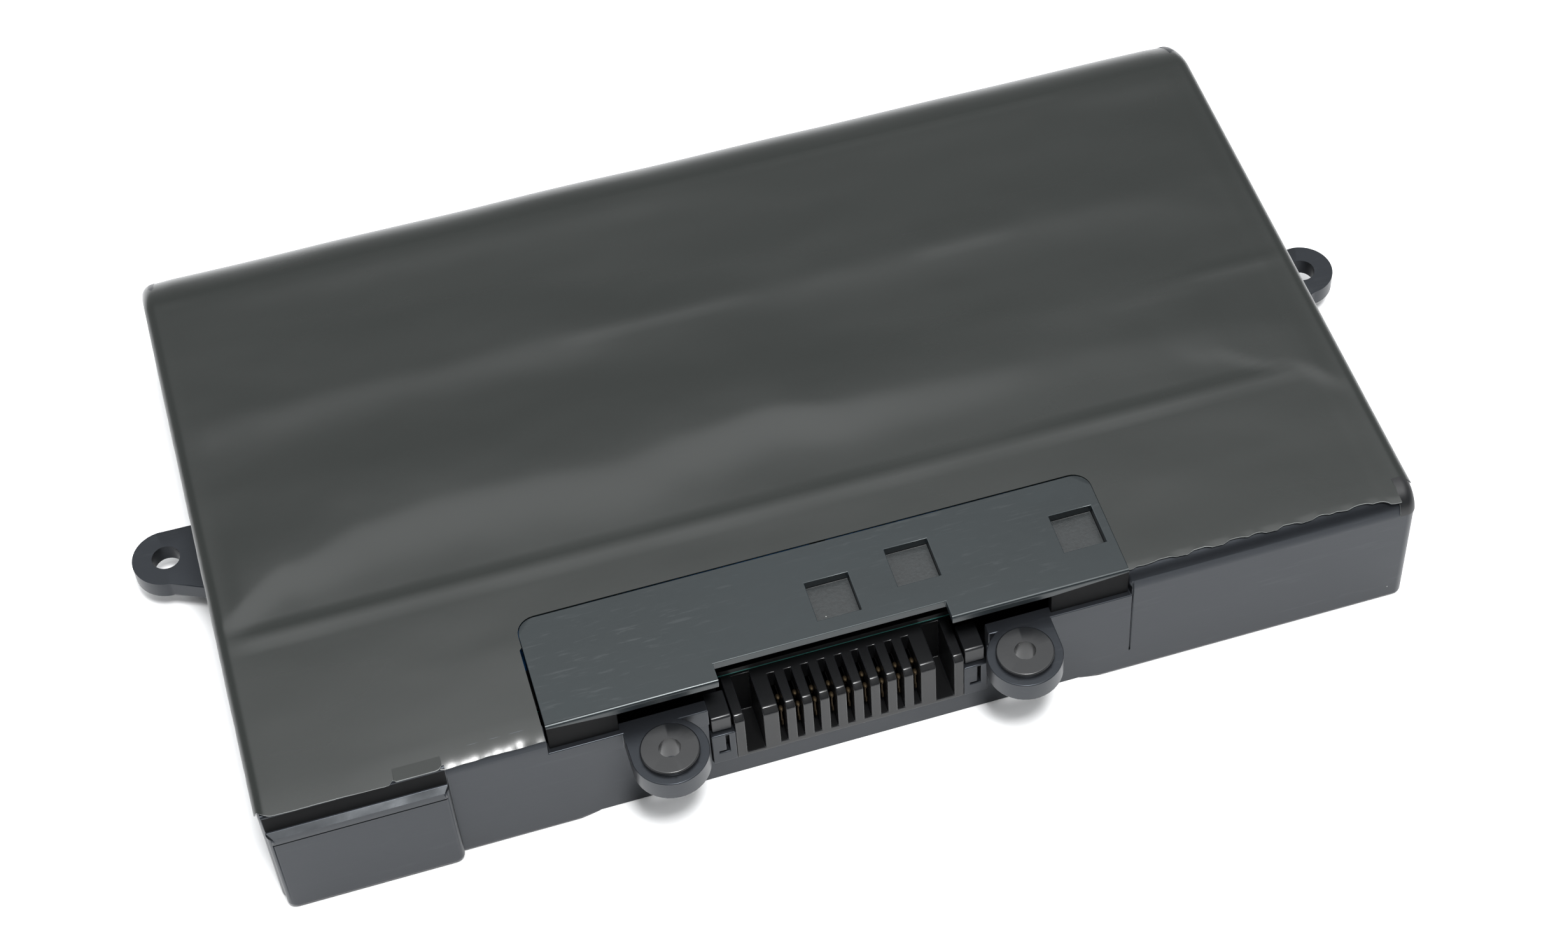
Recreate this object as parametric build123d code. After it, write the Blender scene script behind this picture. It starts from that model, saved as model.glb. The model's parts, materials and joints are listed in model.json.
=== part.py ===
from build123d import *
import os

"""Replaceable laptop battery pack: eight 18650 cells in a film-wrapped tray.

Everything is drawn in tray coordinates first: X runs along the long side from
the left wall, Y runs back from the front wall's face and Z runs up from the
floor's underside. The last step moves every piece so that the origin is the
centre of the tray's bottom face. All sizes are in millimetres.
"""

# ---------------------------------------------------------------- cells
CELL_D = 18.4            # cell with its shrink sleeve
CELL_L = 65.2            # cell from base to button
BUTTON_H = 0.8
BUTTON_R = 4.0
CAN_WALL = 1.3           # can and sleeve round the cap
CAP_T = 0.6
ROWS = 4
ROW_GAP = 0.05
CENTRE_GAP = 2.0         # between the two columns of cells
END_GAP = 3.2            # between a cell's end and the side wall

# ---------------------------------------------------------------- tray
WALL = 1.6
FLOOR = 1.3
FILM = 0.3               # film with its adhesive
FRONT_ZONE = 14.45       # front wall's face to the first row of cells
EDGE_R = 3.2             # rounded top edge of the front wall
SIDE_EDGE_R = 1.3        # rounded top edge of the side walls
BOTTOM_R = 0.6
BACK_LIP_H = 2.0
BACK_LIP_T = 2.6
RIDGE_T = 2.0
FILM_HEM_Z = 1.0         # lower edge of the film behind the last row
FILM_FRONT = 0.6         # film's front edge, back from the front wall's face

# ---------------------------------------------------------------- overall
CELL_R = CELL_D / 2
CAP_R = CELL_R - CAN_WALL
RIDGE_H = CELL_D / 6
PITCH = CELL_D + ROW_GAP
WIDTH = 2 * (WALL + END_GAP + CELL_L) + CENTRE_GAP
DEPTH = FRONT_ZONE + ROWS * PITCH - ROW_GAP + FILM
HEIGHT = FLOOR + CELL_D + FILM
RIM = HEIGHT - FILM
CELL_Z = FLOOR + CELL_R
MID_X = WIDTH / 2        # middle of the gap between the columns

# ---------------------------------------------------------------- connector cover
CONN_X = MID_X - 1.4     # the connector's centre
COVER_LEFT = CONN_X - 36.0
COVER_W = 71.1
COVER_FRONT = 0.65
COVER_BACK = 16.3
COVER_T = 1.2
COVER_DROP = 0.1         # cover's face below the film's face
COVER_GAP = 0.25
COVER_CORNER_R = 2.2
SKIRT_T = 1.0
SKIRT_LEFT_W = 8.3
SKIRT_RIGHT_W = 9.8
NOTCH_BACK = 3.2
NOTCH_SHIFT = -1.25      # notch's centre from the connector's
POCKET_W = 5.4
POCKET_L = 5.75
POCKET_DEPTH = 1.2
POCKET_WALL = 0.8
POCKETS = ((0.5, 8.1), (10.95, 9.9), (31.3, 8.4))   # X from the connector's centre, and Y
FRONT_WALL_TOP = HEIGHT - 4.5

# ---------------------------------------------------------------- connector
CONN_FRONT = 0.2
CONN_BACK = 10.4
CONN_BASE = 3.7
CONN_H = 8.0
CONTACTS = 9
CONTACT_PITCH = 2.09
SLOT_W = 0.9
SLOT_BACK = 5.45
SLOT_FLOOR = 0.9         # above the connector's base
END_WALL = 1.93          # housing between the last slot and the guide slot
GUIDE_W = 2.25
SIDE_WALL = 1.25
GUIDE_BACK = 6.4
GUIDE_FLOOR = 0.6
RIB_BREAK = 0.7
LEAF_T = 0.22
LEAF_OUT = 0.45
LEAF_H = 4.2
LEAF_FRONT = 2.0
LEAF_BACK = 7.5
PAD_R = 0.24
CONTACT_FIT = 0.05
TAIL_W = 0.5
CONN_TOP = CONN_BASE + CONN_H
GUIDE_INNER = (CONTACTS - 1) / 2 * CONTACT_PITCH + SLOT_W / 2 + END_WALL
GUIDE_OUTER = GUIDE_INNER + GUIDE_W
CONN_HALF = GUIDE_OUTER + SIDE_WALL

# ---------------------------------------------------------------- connector clips
CLIP_GAP = 0.25
CLIP_W = 2.45
CLIP_FRONT = 0.7
CLIP_BACK = 4.6
CLIP_H = 2.6
CLIP_RISE = 0.5          # clip's top above the connector's top
CLIP_SPLIT = 0.25        # gap between the clip and the plate below it
LATCH_PLATE_T = 1.2
LATCH_SLOT = 0.42
LATCH_SHIFT = 0.45       # upright part of the slot, right of the plate's middle
LATCH_TOE = 1.15         # level part of the slot
LATCH_FOOT = 1.9         # level part above the plate's foot
LATCH_END = 0.3          # plate above the slot
CLIP_TOP = CONN_TOP + CLIP_RISE
CLIP_UNDER = CLIP_TOP - CLIP_H
WINDOW_HALF = CONN_HALF + CLIP_GAP + CLIP_W + 0.3

# ---------------------------------------------------------------- ears
FRONT_EAR_X = (CONN_X - 22.85, CONN_X + 20.45)
FRONT_EAR_Y = -4.0
FRONT_EAR_R = 4.6
FRONT_EAR_T = 3.0
FRONT_EAR_TOP = FRONT_WALL_TOP
BUSH_FLANGE_R = 3.5
BUSH_FLANGE_T = 0.7
BUSH_R = 2.6
BUSH_BORE_R = 1.3
BUSH_FIT = 0.05
SIDE_EAR_R = 4.2
SIDE_EAR_T = 2.4
SIDE_EAR_Z = 3.6
SIDE_EAR_Y = 49.75
SIDE_EAR_OUT = (4.8, 6.0)   # hole centre outside the left and the right wall
SIDE_HOLE_R = 1.75
SIDE_FLARE = 2.4

# ---------------------------------------------------------------- front wall details
BLOCK_LEFT = 0.4
BLOCK_W = 21.1
BLOCK_OUT = 1.36
BLOCK_TOP = HEIGHT - 4.3
BLOCK_LEDGE_FALL = 0.42  # ledge's slope down to the block's face
BLOCK_STEP_OUT = 0.4
BLOCK_STEP_TOP = HEIGHT - 1.1
BLOCK_EDGE_R = 0.8
BLOCK_FOOT_R = 1.2       # rounded lower corners
BLOCK_GROOVE = (0.2, 0.1)   # height and depth of the groove below the ledge
BLOCK_GROOVE_DOWN = 1.1  # below the face's upper edge
DIMPLE_R = 6.0
DIMPLE_DEPTH = 0.06
DIMPLE_AT = (12.3, 7.4)
RECESS_DEPTH = 0.6
RECESS_BOTTOM = (CONN_X - 34.4, CONN_X + 32.3)
RECESS_TOP = (CONN_X - 30.0, CONN_X + 27.3)
RECESS_RAMP = 3.0
SEAM_W = 0.25
SEAM_DEPTH = 0.3
SEAM_FOOT = 4.0
SEAM_SHIFT = 0.3         # right of the cover
CORNER_NOTCH = (2.4, 3.0)

# ---------------------------------------------------------------- circuit board
BOARD_HALF = 44.0
BOARD_DEPTH = 5.6
BOARD_BACK_GAP = 0.25    # to the first row of cells
BOARD_T = 1.0
TONGUE_FRONT = LEAF_BACK - 0.8   # board's tongue reaches over the contacts' tails
BOARD_LEFT = MID_X - BOARD_HALF
BOARD_RIGHT = MID_X + BOARD_HALF
BOARD_BACK = FRONT_ZONE - BOARD_BACK_GAP
BOARD_FRONT = BOARD_BACK - BOARD_DEPTH
BOARD_MID = (BOARD_FRONT + BOARD_BACK) / 2
BOARD_TOP = CONN_TOP + BOARD_T
POST_R = 1.5
POST_INSET = 3.0
POST_Y = BOARD_MID - 0.8
PIN_R = 0.7
PIN_FIT = 0.1
PIN_RISE = 0.6           # pin's tip above the board
BAY_WALL_T = 1.0
BAY_WALL_GAP = 0.6       # to the board's front edge
TONGUE_SIDE = 0.3        # board's tongue past the connector's side
COVER_POST_R = 1.3
COVER_POST_INSET = 3.0
COVER_POST_Y = 3.1

# ---------------------------------------------------------------- strips and sheets
NICKEL = 0.2
STRIP_HALF = 4.0         # half the height of a strip on the cells' ends
STRIP_PAST = CELL_R - 2.7   # strip past a cell's axis
LEAD_W = 0.9
POSITIVE_LEAD_RISE = 2.6
SENSE_FOOT = 2.0
SHEET = 0.3
CENTRE_SHEET = 1.0
FOAM_SHORT = 5.0
VALLEY_CLEAR = 0.02


def block(x0, x1, y0, y1, z0, z1):
    """Box between two corners."""
    centre = Pos((x0 + x1) / 2, (y0 + y1) / 2, (z0 + z1) / 2)
    return centre * Box(x1 - x0, y1 - y0, z1 - z0)


def rod_x(x0, x1, y, z, r):
    """Round bar along X."""
    return Pos((x0 + x1) / 2, y, z) * Rot(0, 90, 0) * Cylinder(r, x1 - x0)


def post(x, y, z0, z1, r):
    """Round bar along Z."""
    return Pos(x, y, (z0 + z1) / 2) * Cylinder(r, z1 - z0)


def row_y(row):
    """Y of a row's axis; row 0 is next to the connector."""
    return FRONT_ZONE + CELL_R + row * PITCH


def column_x(column):
    """Both ends of a column of cells."""
    start = WALL + END_GAP + column * (CELL_L + CENTRE_GAP)
    return start, start + CELL_L


def edges_at(shape, axis, **place):
    """Edges along an axis that lie at the given coordinates."""
    found = shape.edges().filter_by(axis)
    for name, value in place.items():
        found = found.filter_by(lambda e: abs(getattr(e.center(), name.upper()) - value) < 0.01)
    return found


def body_profile(y0, y1, z0, z1, back_r):
    """Full-width body with the rounded shoulder of the last row of cells."""
    body = block(0, WIDTH, y0, y1, z0, z1)
    return fillet(edges_at(body, Axis.X, y=y1, z=z1), back_r)


# ================================================================ tray
def front_ear(x, side):
    """Round ear in front of the wall; side is -1 for the left ear and 1 for the right."""
    z0 = FRONT_EAR_TOP - FRONT_EAR_T
    ear = post(x, FRONT_EAR_Y, z0, FRONT_EAR_TOP, FRONT_EAR_R)
    outer = x + side * FRONT_EAR_R
    inner = x - side * FRONT_EAR_R / 3
    ear += block(min(outer, inner), max(outer, inner), FRONT_EAR_Y, WALL, z0, FRONT_EAR_TOP)
    return ear - post(x, FRONT_EAR_Y, z0, FRONT_EAR_TOP, BUSH_R + BUSH_FIT)


def make_side_ear(wall_x, side, out):
    """Round ear against a side wall with a flared root; side is -1 or 1."""
    x = wall_x + side * out
    root = wall_x
    front = SIDE_EAR_Y - SIDE_EAR_R
    back = SIDE_EAR_Y + SIDE_EAR_R
    ear = post(x, SIDE_EAR_Y, SIDE_EAR_Z, SIDE_EAR_Z + SIDE_EAR_T, SIDE_EAR_R)
    plan = Polyline((x, front), (root, front - SIDE_FLARE), (root, back), (x, back), close=True)
    ear += extrude(Pos(0, 0, SIDE_EAR_Z) * make_face(plan), SIDE_EAR_T)
    return ear - post(x, SIDE_EAR_Y, SIDE_EAR_Z, SIDE_EAR_Z + SIDE_EAR_T, SIDE_HOLE_R)


def wall_recess():
    """Shallow tapered recess below the front ears."""
    top = FRONT_EAR_TOP - FRONT_EAR_T
    ramp = RECESS_RAMP

    def plan(x0, x1, z):
        points = ((x0, -1), (x0, 0), (x0 + ramp, RECESS_DEPTH), (x1 - ramp, RECESS_DEPTH), (x1, 0), (x1, -1))
        return Pos(0, 0, z) * make_face(Polyline(*points, close=True))

    return loft([plan(*RECESS_BOTTOM, 0), plan(*RECESS_TOP, top)])


def corner_block():
    """Stepped block on the left of the front wall."""
    right = BLOCK_LEFT + BLOCK_W
    lower = block(BLOCK_LEFT, right, -BLOCK_OUT, WALL, 0, BLOCK_TOP)
    lower = fillet(edges_at(lower, Axis.Y, x=right, z=0), BLOCK_FOOT_R)
    lower = fillet(edges_at(lower, Axis.Y, x=BLOCK_LEFT, z=0), BLOCK_FOOT_R)
    lower = fillet(edges_at(lower, Axis.Z, y=-BLOCK_OUT), BLOCK_EDGE_R)
    face_top = BLOCK_TOP - BLOCK_LEDGE_FALL
    slope = Polyline((-BLOCK_STEP_OUT, BLOCK_TOP), (-BLOCK_OUT - 1, BLOCK_TOP), (-BLOCK_OUT - 1, face_top),
                     (-BLOCK_OUT, face_top), close=True)
    lower -= extrude(Plane.YZ * make_face(slope), right + 1)
    upper = block(BLOCK_LEFT, right, -BLOCK_STEP_OUT, WALL, BLOCK_TOP, BLOCK_STEP_TOP)
    upper = fillet(edges_at(upper, Axis.X, y=-BLOCK_STEP_OUT, z=BLOCK_STEP_TOP), BLOCK_STEP_OUT)
    groove_h, groove_depth = BLOCK_GROOVE
    groove_z = face_top - BLOCK_GROOVE_DOWN
    lower -= block(0, right + 1, -BLOCK_OUT - 1, -BLOCK_OUT + groove_depth, groove_z - groove_h, groove_z)
    dimple_y = -BLOCK_OUT + DIMPLE_DEPTH - DIMPLE_R
    lower -= Pos(DIMPLE_AT[0], dimple_y, DIMPLE_AT[1]) * Sphere(DIMPLE_R)
    hollow = block(BLOCK_LEFT + WALL, right - WALL, -BLOCK_OUT + WALL, WALL + 1, FLOOR, BLOCK_TOP - WALL)
    return lower + upper, hollow


def latch_plate(x):
    """Plate beside the connector with its angled slot; x is the plate's centre."""
    half = CLIP_W / 2 + CLIP_GAP
    z1 = CLIP_UNDER - CLIP_SPLIT
    plate = block(x - half, x + half, CONN_FRONT, CONN_FRONT + LATCH_PLATE_T, CONN_BASE, z1)
    stroke = x + LATCH_SHIFT
    foot_z = CONN_BASE + LATCH_FOOT
    plate -= block(stroke - LATCH_SLOT / 2, stroke + LATCH_SLOT / 2, -1, 2, foot_z, z1 - LATCH_END)
    plate -= block(stroke - LATCH_TOE, stroke, -1, 2, foot_z, foot_z + LATCH_SLOT)
    return plate


def make_tray():
    """Open tray: floor, walls, corner block, ears and the seats for what goes inside."""
    back = DEPTH - FILM
    cover_right = COVER_LEFT + COVER_W
    tray = body_profile(0, back, 0, RIM, CELL_R)
    tray = fillet(edges_at(tray, Axis.X, y=0, z=RIM), EDGE_R)
    tray = fillet(edges_at(tray, Axis.Y, z=RIM), SIDE_EDGE_R)
    tray = fillet(edges_at(tray, Axis.X, y=back, z=0), BOTTOM_R)
    tray -= block(WALL, WIDTH - WALL, WALL, back + 1, FLOOR + BACK_LIP_H, HEIGHT)
    tray -= block(WALL, WIDTH - WALL, WALL, back - BACK_LIP_T, FLOOR, FLOOR + BACK_LIP_H + 1)
    solid_block, hollow = corner_block()
    tray += solid_block
    tray -= hollow
    tray -= wall_recess()
    seam_x = cover_right + SEAM_SHIFT
    tray -= block(seam_x, seam_x + SEAM_W, -1, SEAM_DEPTH, SEAM_FOOT, HEIGHT)
    gap = COVER_GAP
    tray -= block(COVER_LEFT - gap, cover_right + gap, -1, WALL + 1, FRONT_WALL_TOP, HEIGHT)
    tray -= block(CONN_X - WINDOW_HALF, CONN_X + WINDOW_HALF, -1, WALL + 1, CONN_BASE, HEIGHT)
    seat_back = CONN_BACK
    tray += block(CONN_X - WINDOW_HALF, CONN_X + WINDOW_HALF, WALL, seat_back, FLOOR / 2, CONN_BASE)
    for side in (-1, 1):
        tray += latch_plate(CONN_X + side * (CONN_HALF + CLIP_GAP + CLIP_W / 2))
    for x, side in zip(FRONT_EAR_X, (-1, 1)):
        tray += front_ear(x, side)
    for row in range(1, ROWS):
        mid = row_y(row) - PITCH / 2
        for column in (0, 1):
            x0, x1 = column_x(column)
            tray += block(x0 + 4, x1 - 4, mid - RIDGE_T / 2, mid + RIDGE_T / 2, FLOOR / 2, FLOOR + RIDGE_H)
    for x in (BOARD_LEFT + POST_INSET, BOARD_RIGHT - POST_INSET):
        tray += post(x, POST_Y, FLOOR / 2, CONN_TOP, POST_R)
        tray += post(x, POST_Y, CONN_TOP / 2, BOARD_TOP + PIN_RISE, PIN_R)
    cover_under = HEIGHT - COVER_DROP - COVER_T
    for x in (COVER_LEFT + COVER_POST_INSET, cover_right - COVER_POST_INSET):
        tray += post(x, COVER_POST_Y, FLOOR / 2, cover_under, COVER_POST_R)
    beside = CONN_HALF + TONGUE_SIDE + COVER_GAP
    left_bay = (COVER_LEFT + SKIRT_LEFT_W - BAY_WALL_T, CONN_X - beside)
    right_bay = (CONN_X + beside, cover_right - SKIRT_RIGHT_W + BAY_WALL_T)
    bay_back = BOARD_FRONT - BAY_WALL_GAP
    for x0, x1 in (left_bay, right_bay):
        tray += block(x0, x1, bay_back - BAY_WALL_T, bay_back, FLOOR / 2, cover_under)
    return tray


# ================================================================ film and cover
def make_film():
    """Insulating film over the top, round the last row and down the back."""
    film = body_profile(FILM_FRONT, DEPTH, FILM_HEM_Z, HEIGHT, CELL_R + FILM)
    film -= body_profile(-1, DEPTH - FILM, -1, RIM, CELL_R)
    right = COVER_LEFT + COVER_W
    cut_back = COVER_BACK + COVER_GAP
    cut = block(COVER_LEFT - COVER_GAP, right + COVER_GAP, -1, cut_back, 0, HEIGHT + 1)
    cut = fillet(edges_at(cut, Axis.Z, y=cut_back), COVER_CORNER_R + COVER_GAP)
    film -= cut
    return film - block(WIDTH - CORNER_NOTCH[0], WIDTH + 1, -1, CORNER_NOTCH[1], 0, HEIGHT + 1)


def make_cover():
    """Cover over the connector with three square pockets and a front skirt."""
    right = COVER_LEFT + COVER_W
    top = HEIGHT - COVER_DROP
    under = top - COVER_T
    plate = block(COVER_LEFT, right, COVER_FRONT, COVER_BACK, under, top)
    plate = fillet(edges_at(plate, Axis.Z, y=COVER_BACK), COVER_CORNER_R)
    plate = fillet(edges_at(plate, Axis.X, y=COVER_FRONT, z=top), 0.4)
    notch_x = CONN_X + NOTCH_SHIFT
    plate -= block(notch_x - CONN_HALF, notch_x + CONN_HALF, -1, NOTCH_BACK, 0, HEIGHT)
    skirt_back = COVER_FRONT + SKIRT_T
    plate += block(COVER_LEFT, COVER_LEFT + SKIRT_LEFT_W, COVER_FRONT, skirt_back, FRONT_WALL_TOP, under)
    plate += block(right - SKIRT_RIGHT_W, right, COVER_FRONT, skirt_back, FRONT_WALL_TOP, under)
    for x0 in (COVER_LEFT, right - SKIRT_T):
        plate += block(x0, x0 + SKIRT_T, COVER_FRONT, BOARD_FRONT - BAY_WALL_GAP, FRONT_WALL_TOP, under)
    floor_top = top - POCKET_DEPTH
    for dx, y in POCKETS:
        x = CONN_X + dx
        half_w = POCKET_W / 2
        half_l = POCKET_L / 2
        wall = POCKET_WALL
        plate += block(x - half_w - wall, x + half_w + wall, y - half_l - wall, y + half_l + wall,
                       floor_top - POCKET_WALL, under)
        plate -= block(x - half_w, x + half_w, y - half_l, y + half_l, floor_top, HEIGHT)
    return plate


# ================================================================ connector
def contact_x(index):
    """X of a contact's slot."""
    return CONN_X + (index - (CONTACTS - 1) / 2) * CONTACT_PITCH


def make_housing():
    """Connector housing: slots open at the top and the front, wide guide slots at both ends."""
    housing = block(CONN_X - CONN_HALF, CONN_X + CONN_HALF, CONN_FRONT, CONN_BACK, CONN_BASE, CONN_TOP)
    housing = chamfer(edges_at(housing, Axis.X, y=CONN_FRONT, z=CONN_TOP), RIB_BREAK)
    slot_z = CONN_BASE + SLOT_FLOOR
    leaf_top = slot_z + LEAF_H + CONTACT_FIT
    reach = LEAF_OUT + CONTACT_FIT
    leaf_front = LEAF_FRONT - PAD_R - CONTACT_FIT
    cell_back = LEAF_BACK + LEAF_T + CONTACT_FIT
    for index in range(CONTACTS):
        x = contact_x(index)
        housing -= block(x - SLOT_W / 2, x + SLOT_W / 2, -1, SLOT_BACK, slot_z, HEIGHT)
        housing -= block(x - reach, x + reach, leaf_front, cell_back, slot_z, leaf_top)
        housing -= block(x - TAIL_W / 2 - CONTACT_FIT, x + TAIL_W / 2 + CONTACT_FIT,
                         LEAF_BACK - CONTACT_FIT, cell_back, leaf_top - 1, HEIGHT)
    for side in (-1, 1):
        ends = sorted((CONN_X + side * GUIDE_INNER, CONN_X + side * GUIDE_OUTER))
        housing -= block(ends[0], ends[1], -1, GUIDE_BACK, CONN_BASE + GUIDE_FLOOR, HEIGHT)
    return housing


def make_contact(index):
    """Fork contact: two leaves with pinch pads, a bridge and a tail up to the board."""
    x = contact_x(index)
    z0 = CONN_BASE + SLOT_FLOOR
    z1 = z0 + LEAF_H
    contact = block(x - LEAF_OUT, x + LEAF_OUT, LEAF_BACK, LEAF_BACK + LEAF_T, z0, z1)
    for side in (-1, 1):
        outer = x + side * LEAF_OUT
        inner = outer - side * LEAF_T
        contact += block(min(outer, inner), max(outer, inner), LEAF_FRONT, LEAF_BACK + LEAF_T, z0, z1)
        contact += post(outer - side * PAD_R, LEAF_FRONT, z1 - 1.4, z1, PAD_R)
    contact += block(x - TAIL_W / 2, x + TAIL_W / 2, LEAF_BACK, LEAF_BACK + LEAF_T, z1 - 1, CONN_TOP)
    return contact


def make_clip(side):
    """Clip beside the connector: a head above the latch plate and a leg behind it."""
    x = CONN_X + side * (CONN_HALF + CLIP_GAP + CLIP_W / 2)
    leg_front = CONN_FRONT + LATCH_PLATE_T
    head = block(x - CLIP_W / 2, x + CLIP_W / 2, CLIP_FRONT, CLIP_BACK, CLIP_UNDER, CLIP_TOP)
    head = chamfer(edges_at(head, Axis.X, y=CLIP_FRONT, z=CLIP_TOP), 0.25)
    return head + block(x - CLIP_W / 2, x + CLIP_W / 2, leg_front, CLIP_BACK, CONN_BASE, CLIP_UNDER + 1)


def make_bush(x):
    """Flanged bush in a front ear."""
    foot = FRONT_EAR_TOP - FRONT_EAR_T
    bush = post(x, FRONT_EAR_Y, foot, FRONT_EAR_TOP, BUSH_R)
    flange = post(x, FRONT_EAR_Y, FRONT_EAR_TOP, FRONT_EAR_TOP + BUSH_FLANGE_T, BUSH_FLANGE_R)
    flange = fillet(flange.edges().sort_by(Axis.Z)[-1], 0.2)
    return bush + flange - post(x, FRONT_EAR_Y, 0, HEIGHT, BUSH_BORE_R)


# ================================================================ cells and strips
def positive_end(row, column):
    """The end that carries the button: 0 is the cell's left end and 1 its right end."""
    outer = row % 2 == 0
    return column if outer else 1 - column


def make_cell(row, column):
    """Steel can in its sleeve, with a recess at the positive end for the cap."""
    x0, x1 = column_x(column)
    y = row_y(row)
    recess = BUTTON_H + CAP_T
    if positive_end(row, column) == 0:
        return rod_x(x0 + BUTTON_H, x1, y, CELL_Z, CELL_R) - rod_x(x0, x0 + recess, y, CELL_Z, CAP_R)
    return rod_x(x0, x1 - BUTTON_H, y, CELL_Z, CELL_R) - rod_x(x1 - recess, x1, y, CELL_Z, CAP_R)


def make_cap(row, column):
    """Positive cap: a disc in the can's mouth and the button on it."""
    x0, x1 = column_x(column)
    y = row_y(row)
    if positive_end(row, column) == 0:
        disc = rod_x(x0 + BUTTON_H, x0 + BUTTON_H + CAP_T, y, CELL_Z, CAP_R)
        return disc + rod_x(x0, x0 + BUTTON_H, y, CELL_Z, BUTTON_R)
    disc = rod_x(x1 - BUTTON_H - CAP_T, x1 - BUTTON_H, y, CELL_Z, CAP_R)
    return disc + rod_x(x1 - BUTTON_H, x1, y, CELL_Z, BUTTON_R)


def make_end_link(column, first_row):
    """Nickel strip that joins two rows at an outer end."""
    x0, x1 = column_x(column)
    plane = (x0 - NICKEL, x0) if column == 0 else (x1, x1 + NICKEL)
    y0 = row_y(first_row) - STRIP_PAST
    y1 = row_y(first_row + 1) + STRIP_PAST
    return block(*plane, y0, y1, CELL_Z - STRIP_HALF, CELL_Z + STRIP_HALF)


def make_front_link(column):
    """End link of the first two rows with its sense tab bent on to the board."""
    link = make_end_link(column, 0)
    x0, x1 = column_x(column)
    z0 = BOARD_TOP + NICKEL
    z1 = CELL_Z + STRIP_HALF
    tab_y = BOARD_BACK - 2
    tab_back = row_y(0) - STRIP_PAST
    if column == 0:
        plane = (x0 - NICKEL, x0)
        run = (x0 - NICKEL, BOARD_LEFT + SENSE_FOOT)
        foot = (BOARD_LEFT, BOARD_LEFT + SENSE_FOOT)
    else:
        plane = (x1, x1 + NICKEL)
        run = (BOARD_RIGHT - SENSE_FOOT, x1 + NICKEL)
        foot = (BOARD_RIGHT - SENSE_FOOT, BOARD_RIGHT)
    link += block(*plane, tab_y, tab_back, z0, z1)
    link += block(*run, tab_y, tab_y + NICKEL, z0, z1)
    link += block(*foot, tab_y, tab_y + 1.4, BOARD_TOP, z0)
    return link


def centre_strip(y0, y1):
    """Folded nickel strip between the two columns, open at the bottom."""
    x0 = column_x(0)[1]
    x1 = column_x(1)[0]
    z0 = CELL_Z - STRIP_HALF
    z1 = CELL_Z + STRIP_HALF
    strip = block(x0, x1, y0, y1, z0, z1)
    return strip - block(x0 + NICKEL, x1 - NICKEL, y0, y1, z0, z1 - NICKEL)


def make_lead(row, rise, drop_y):
    """Folded strip of a pack terminal with a lead that runs forward and down to the board."""
    y0 = row_y(row) - STRIP_PAST
    lead = centre_strip(y0, row_y(row) + STRIP_PAST)
    mid = (column_x(0)[1] + column_x(1)[0]) / 2
    x0 = mid - LEAD_W / 2
    x1 = mid + LEAD_W / 2
    z1 = CELL_Z + STRIP_HALF + rise
    if rise:
        lead += block(x0, x1, y0, y0 + NICKEL, CELL_Z + STRIP_HALF - NICKEL, z1)
    lead += block(x0, x1, drop_y, y0 + NICKEL, z1 - NICKEL, z1)
    lead += block(x0, x1, drop_y, drop_y + NICKEL, BOARD_TOP, z1)
    return lead


def make_centre_insulator():
    """Board between the two columns, under the folded strips."""
    mid = (column_x(0)[1] + column_x(1)[0]) / 2
    y1 = row_y(ROWS - 1) + STRIP_PAST
    z1 = CELL_Z + STRIP_HALF - NICKEL
    return block(mid - CENTRE_SHEET / 2, mid + CENTRE_SHEET / 2, FRONT_ZONE + 1, y1, FLOOR, z1)


def end_sheet_x(column, inner, outer):
    """X range of a sheet outside a column's end, measured from the nickel strip."""
    x0, x1 = column_x(column)
    if column == 0:
        return x0 - NICKEL - outer, x0 - NICKEL - inner
    return x1 + NICKEL + inner, x1 + NICKEL + outer


def make_end_insulator(column):
    """Paper sheet over the nickel strips."""
    y0 = row_y(0) - STRIP_PAST
    y1 = row_y(ROWS - 1) + STRIP_PAST
    return block(*end_sheet_x(column, 0, SHEET), y0, y1, FLOOR, CELL_Z + STRIP_PAST)


def make_foam(column):
    """Foam pad between the paper sheet and the side wall."""
    thickness = END_GAP - NICKEL
    y0 = row_y(0) - STRIP_PAST + FOAM_SHORT
    y1 = row_y(ROWS - 1) + STRIP_PAST - FOAM_SHORT
    return block(*end_sheet_x(column, SHEET, thickness), y0, y1, FLOOR, CELL_Z + STRIP_HALF)


def valley_rod(x0, x1, radius):
    """Round part that lies in the valley between the first two rows."""
    reach = CELL_R + radius + VALLEY_CLEAR
    lift = (reach ** 2 - (PITCH / 2) ** 2) ** 0.5
    return rod_x(x0, x1, row_y(0) + PITCH / 2, CELL_Z + lift, radius)


# ================================================================ circuit board
def make_board():
    """Protection board with a tongue on top of the connector."""
    board = block(BOARD_LEFT, BOARD_RIGHT, BOARD_FRONT, BOARD_BACK, CONN_TOP, BOARD_TOP)
    tongue = CONN_HALF + TONGUE_SIDE
    board += block(CONN_X - tongue, CONN_X + tongue, TONGUE_FRONT, BOARD_FRONT + 1, CONN_TOP, BOARD_TOP)
    for x in (BOARD_LEFT + POST_INSET, BOARD_RIGHT - POST_INSET):
        board -= post(x, POST_Y, CONN_TOP, BOARD_TOP, PIN_R + PIN_FIT)
    return board


def on_board(along, y, length, width, height):
    """Component that stands on the board; along is its distance from the board's middle."""
    x = MID_X + along
    return block(x - length / 2, x + length / 2, y - width / 2, y + width / 2, BOARD_TOP, BOARD_TOP + height)


def make_capacitors():
    """Row of chip capacitors, each a solid of its own."""
    y = BOARD_BACK - 1.3
    return Compound(children=[on_board(x, y, 1.2, 2.0, 1.1) for x in (-33.5, -31, -28.5, -11, -8.5)])


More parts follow.
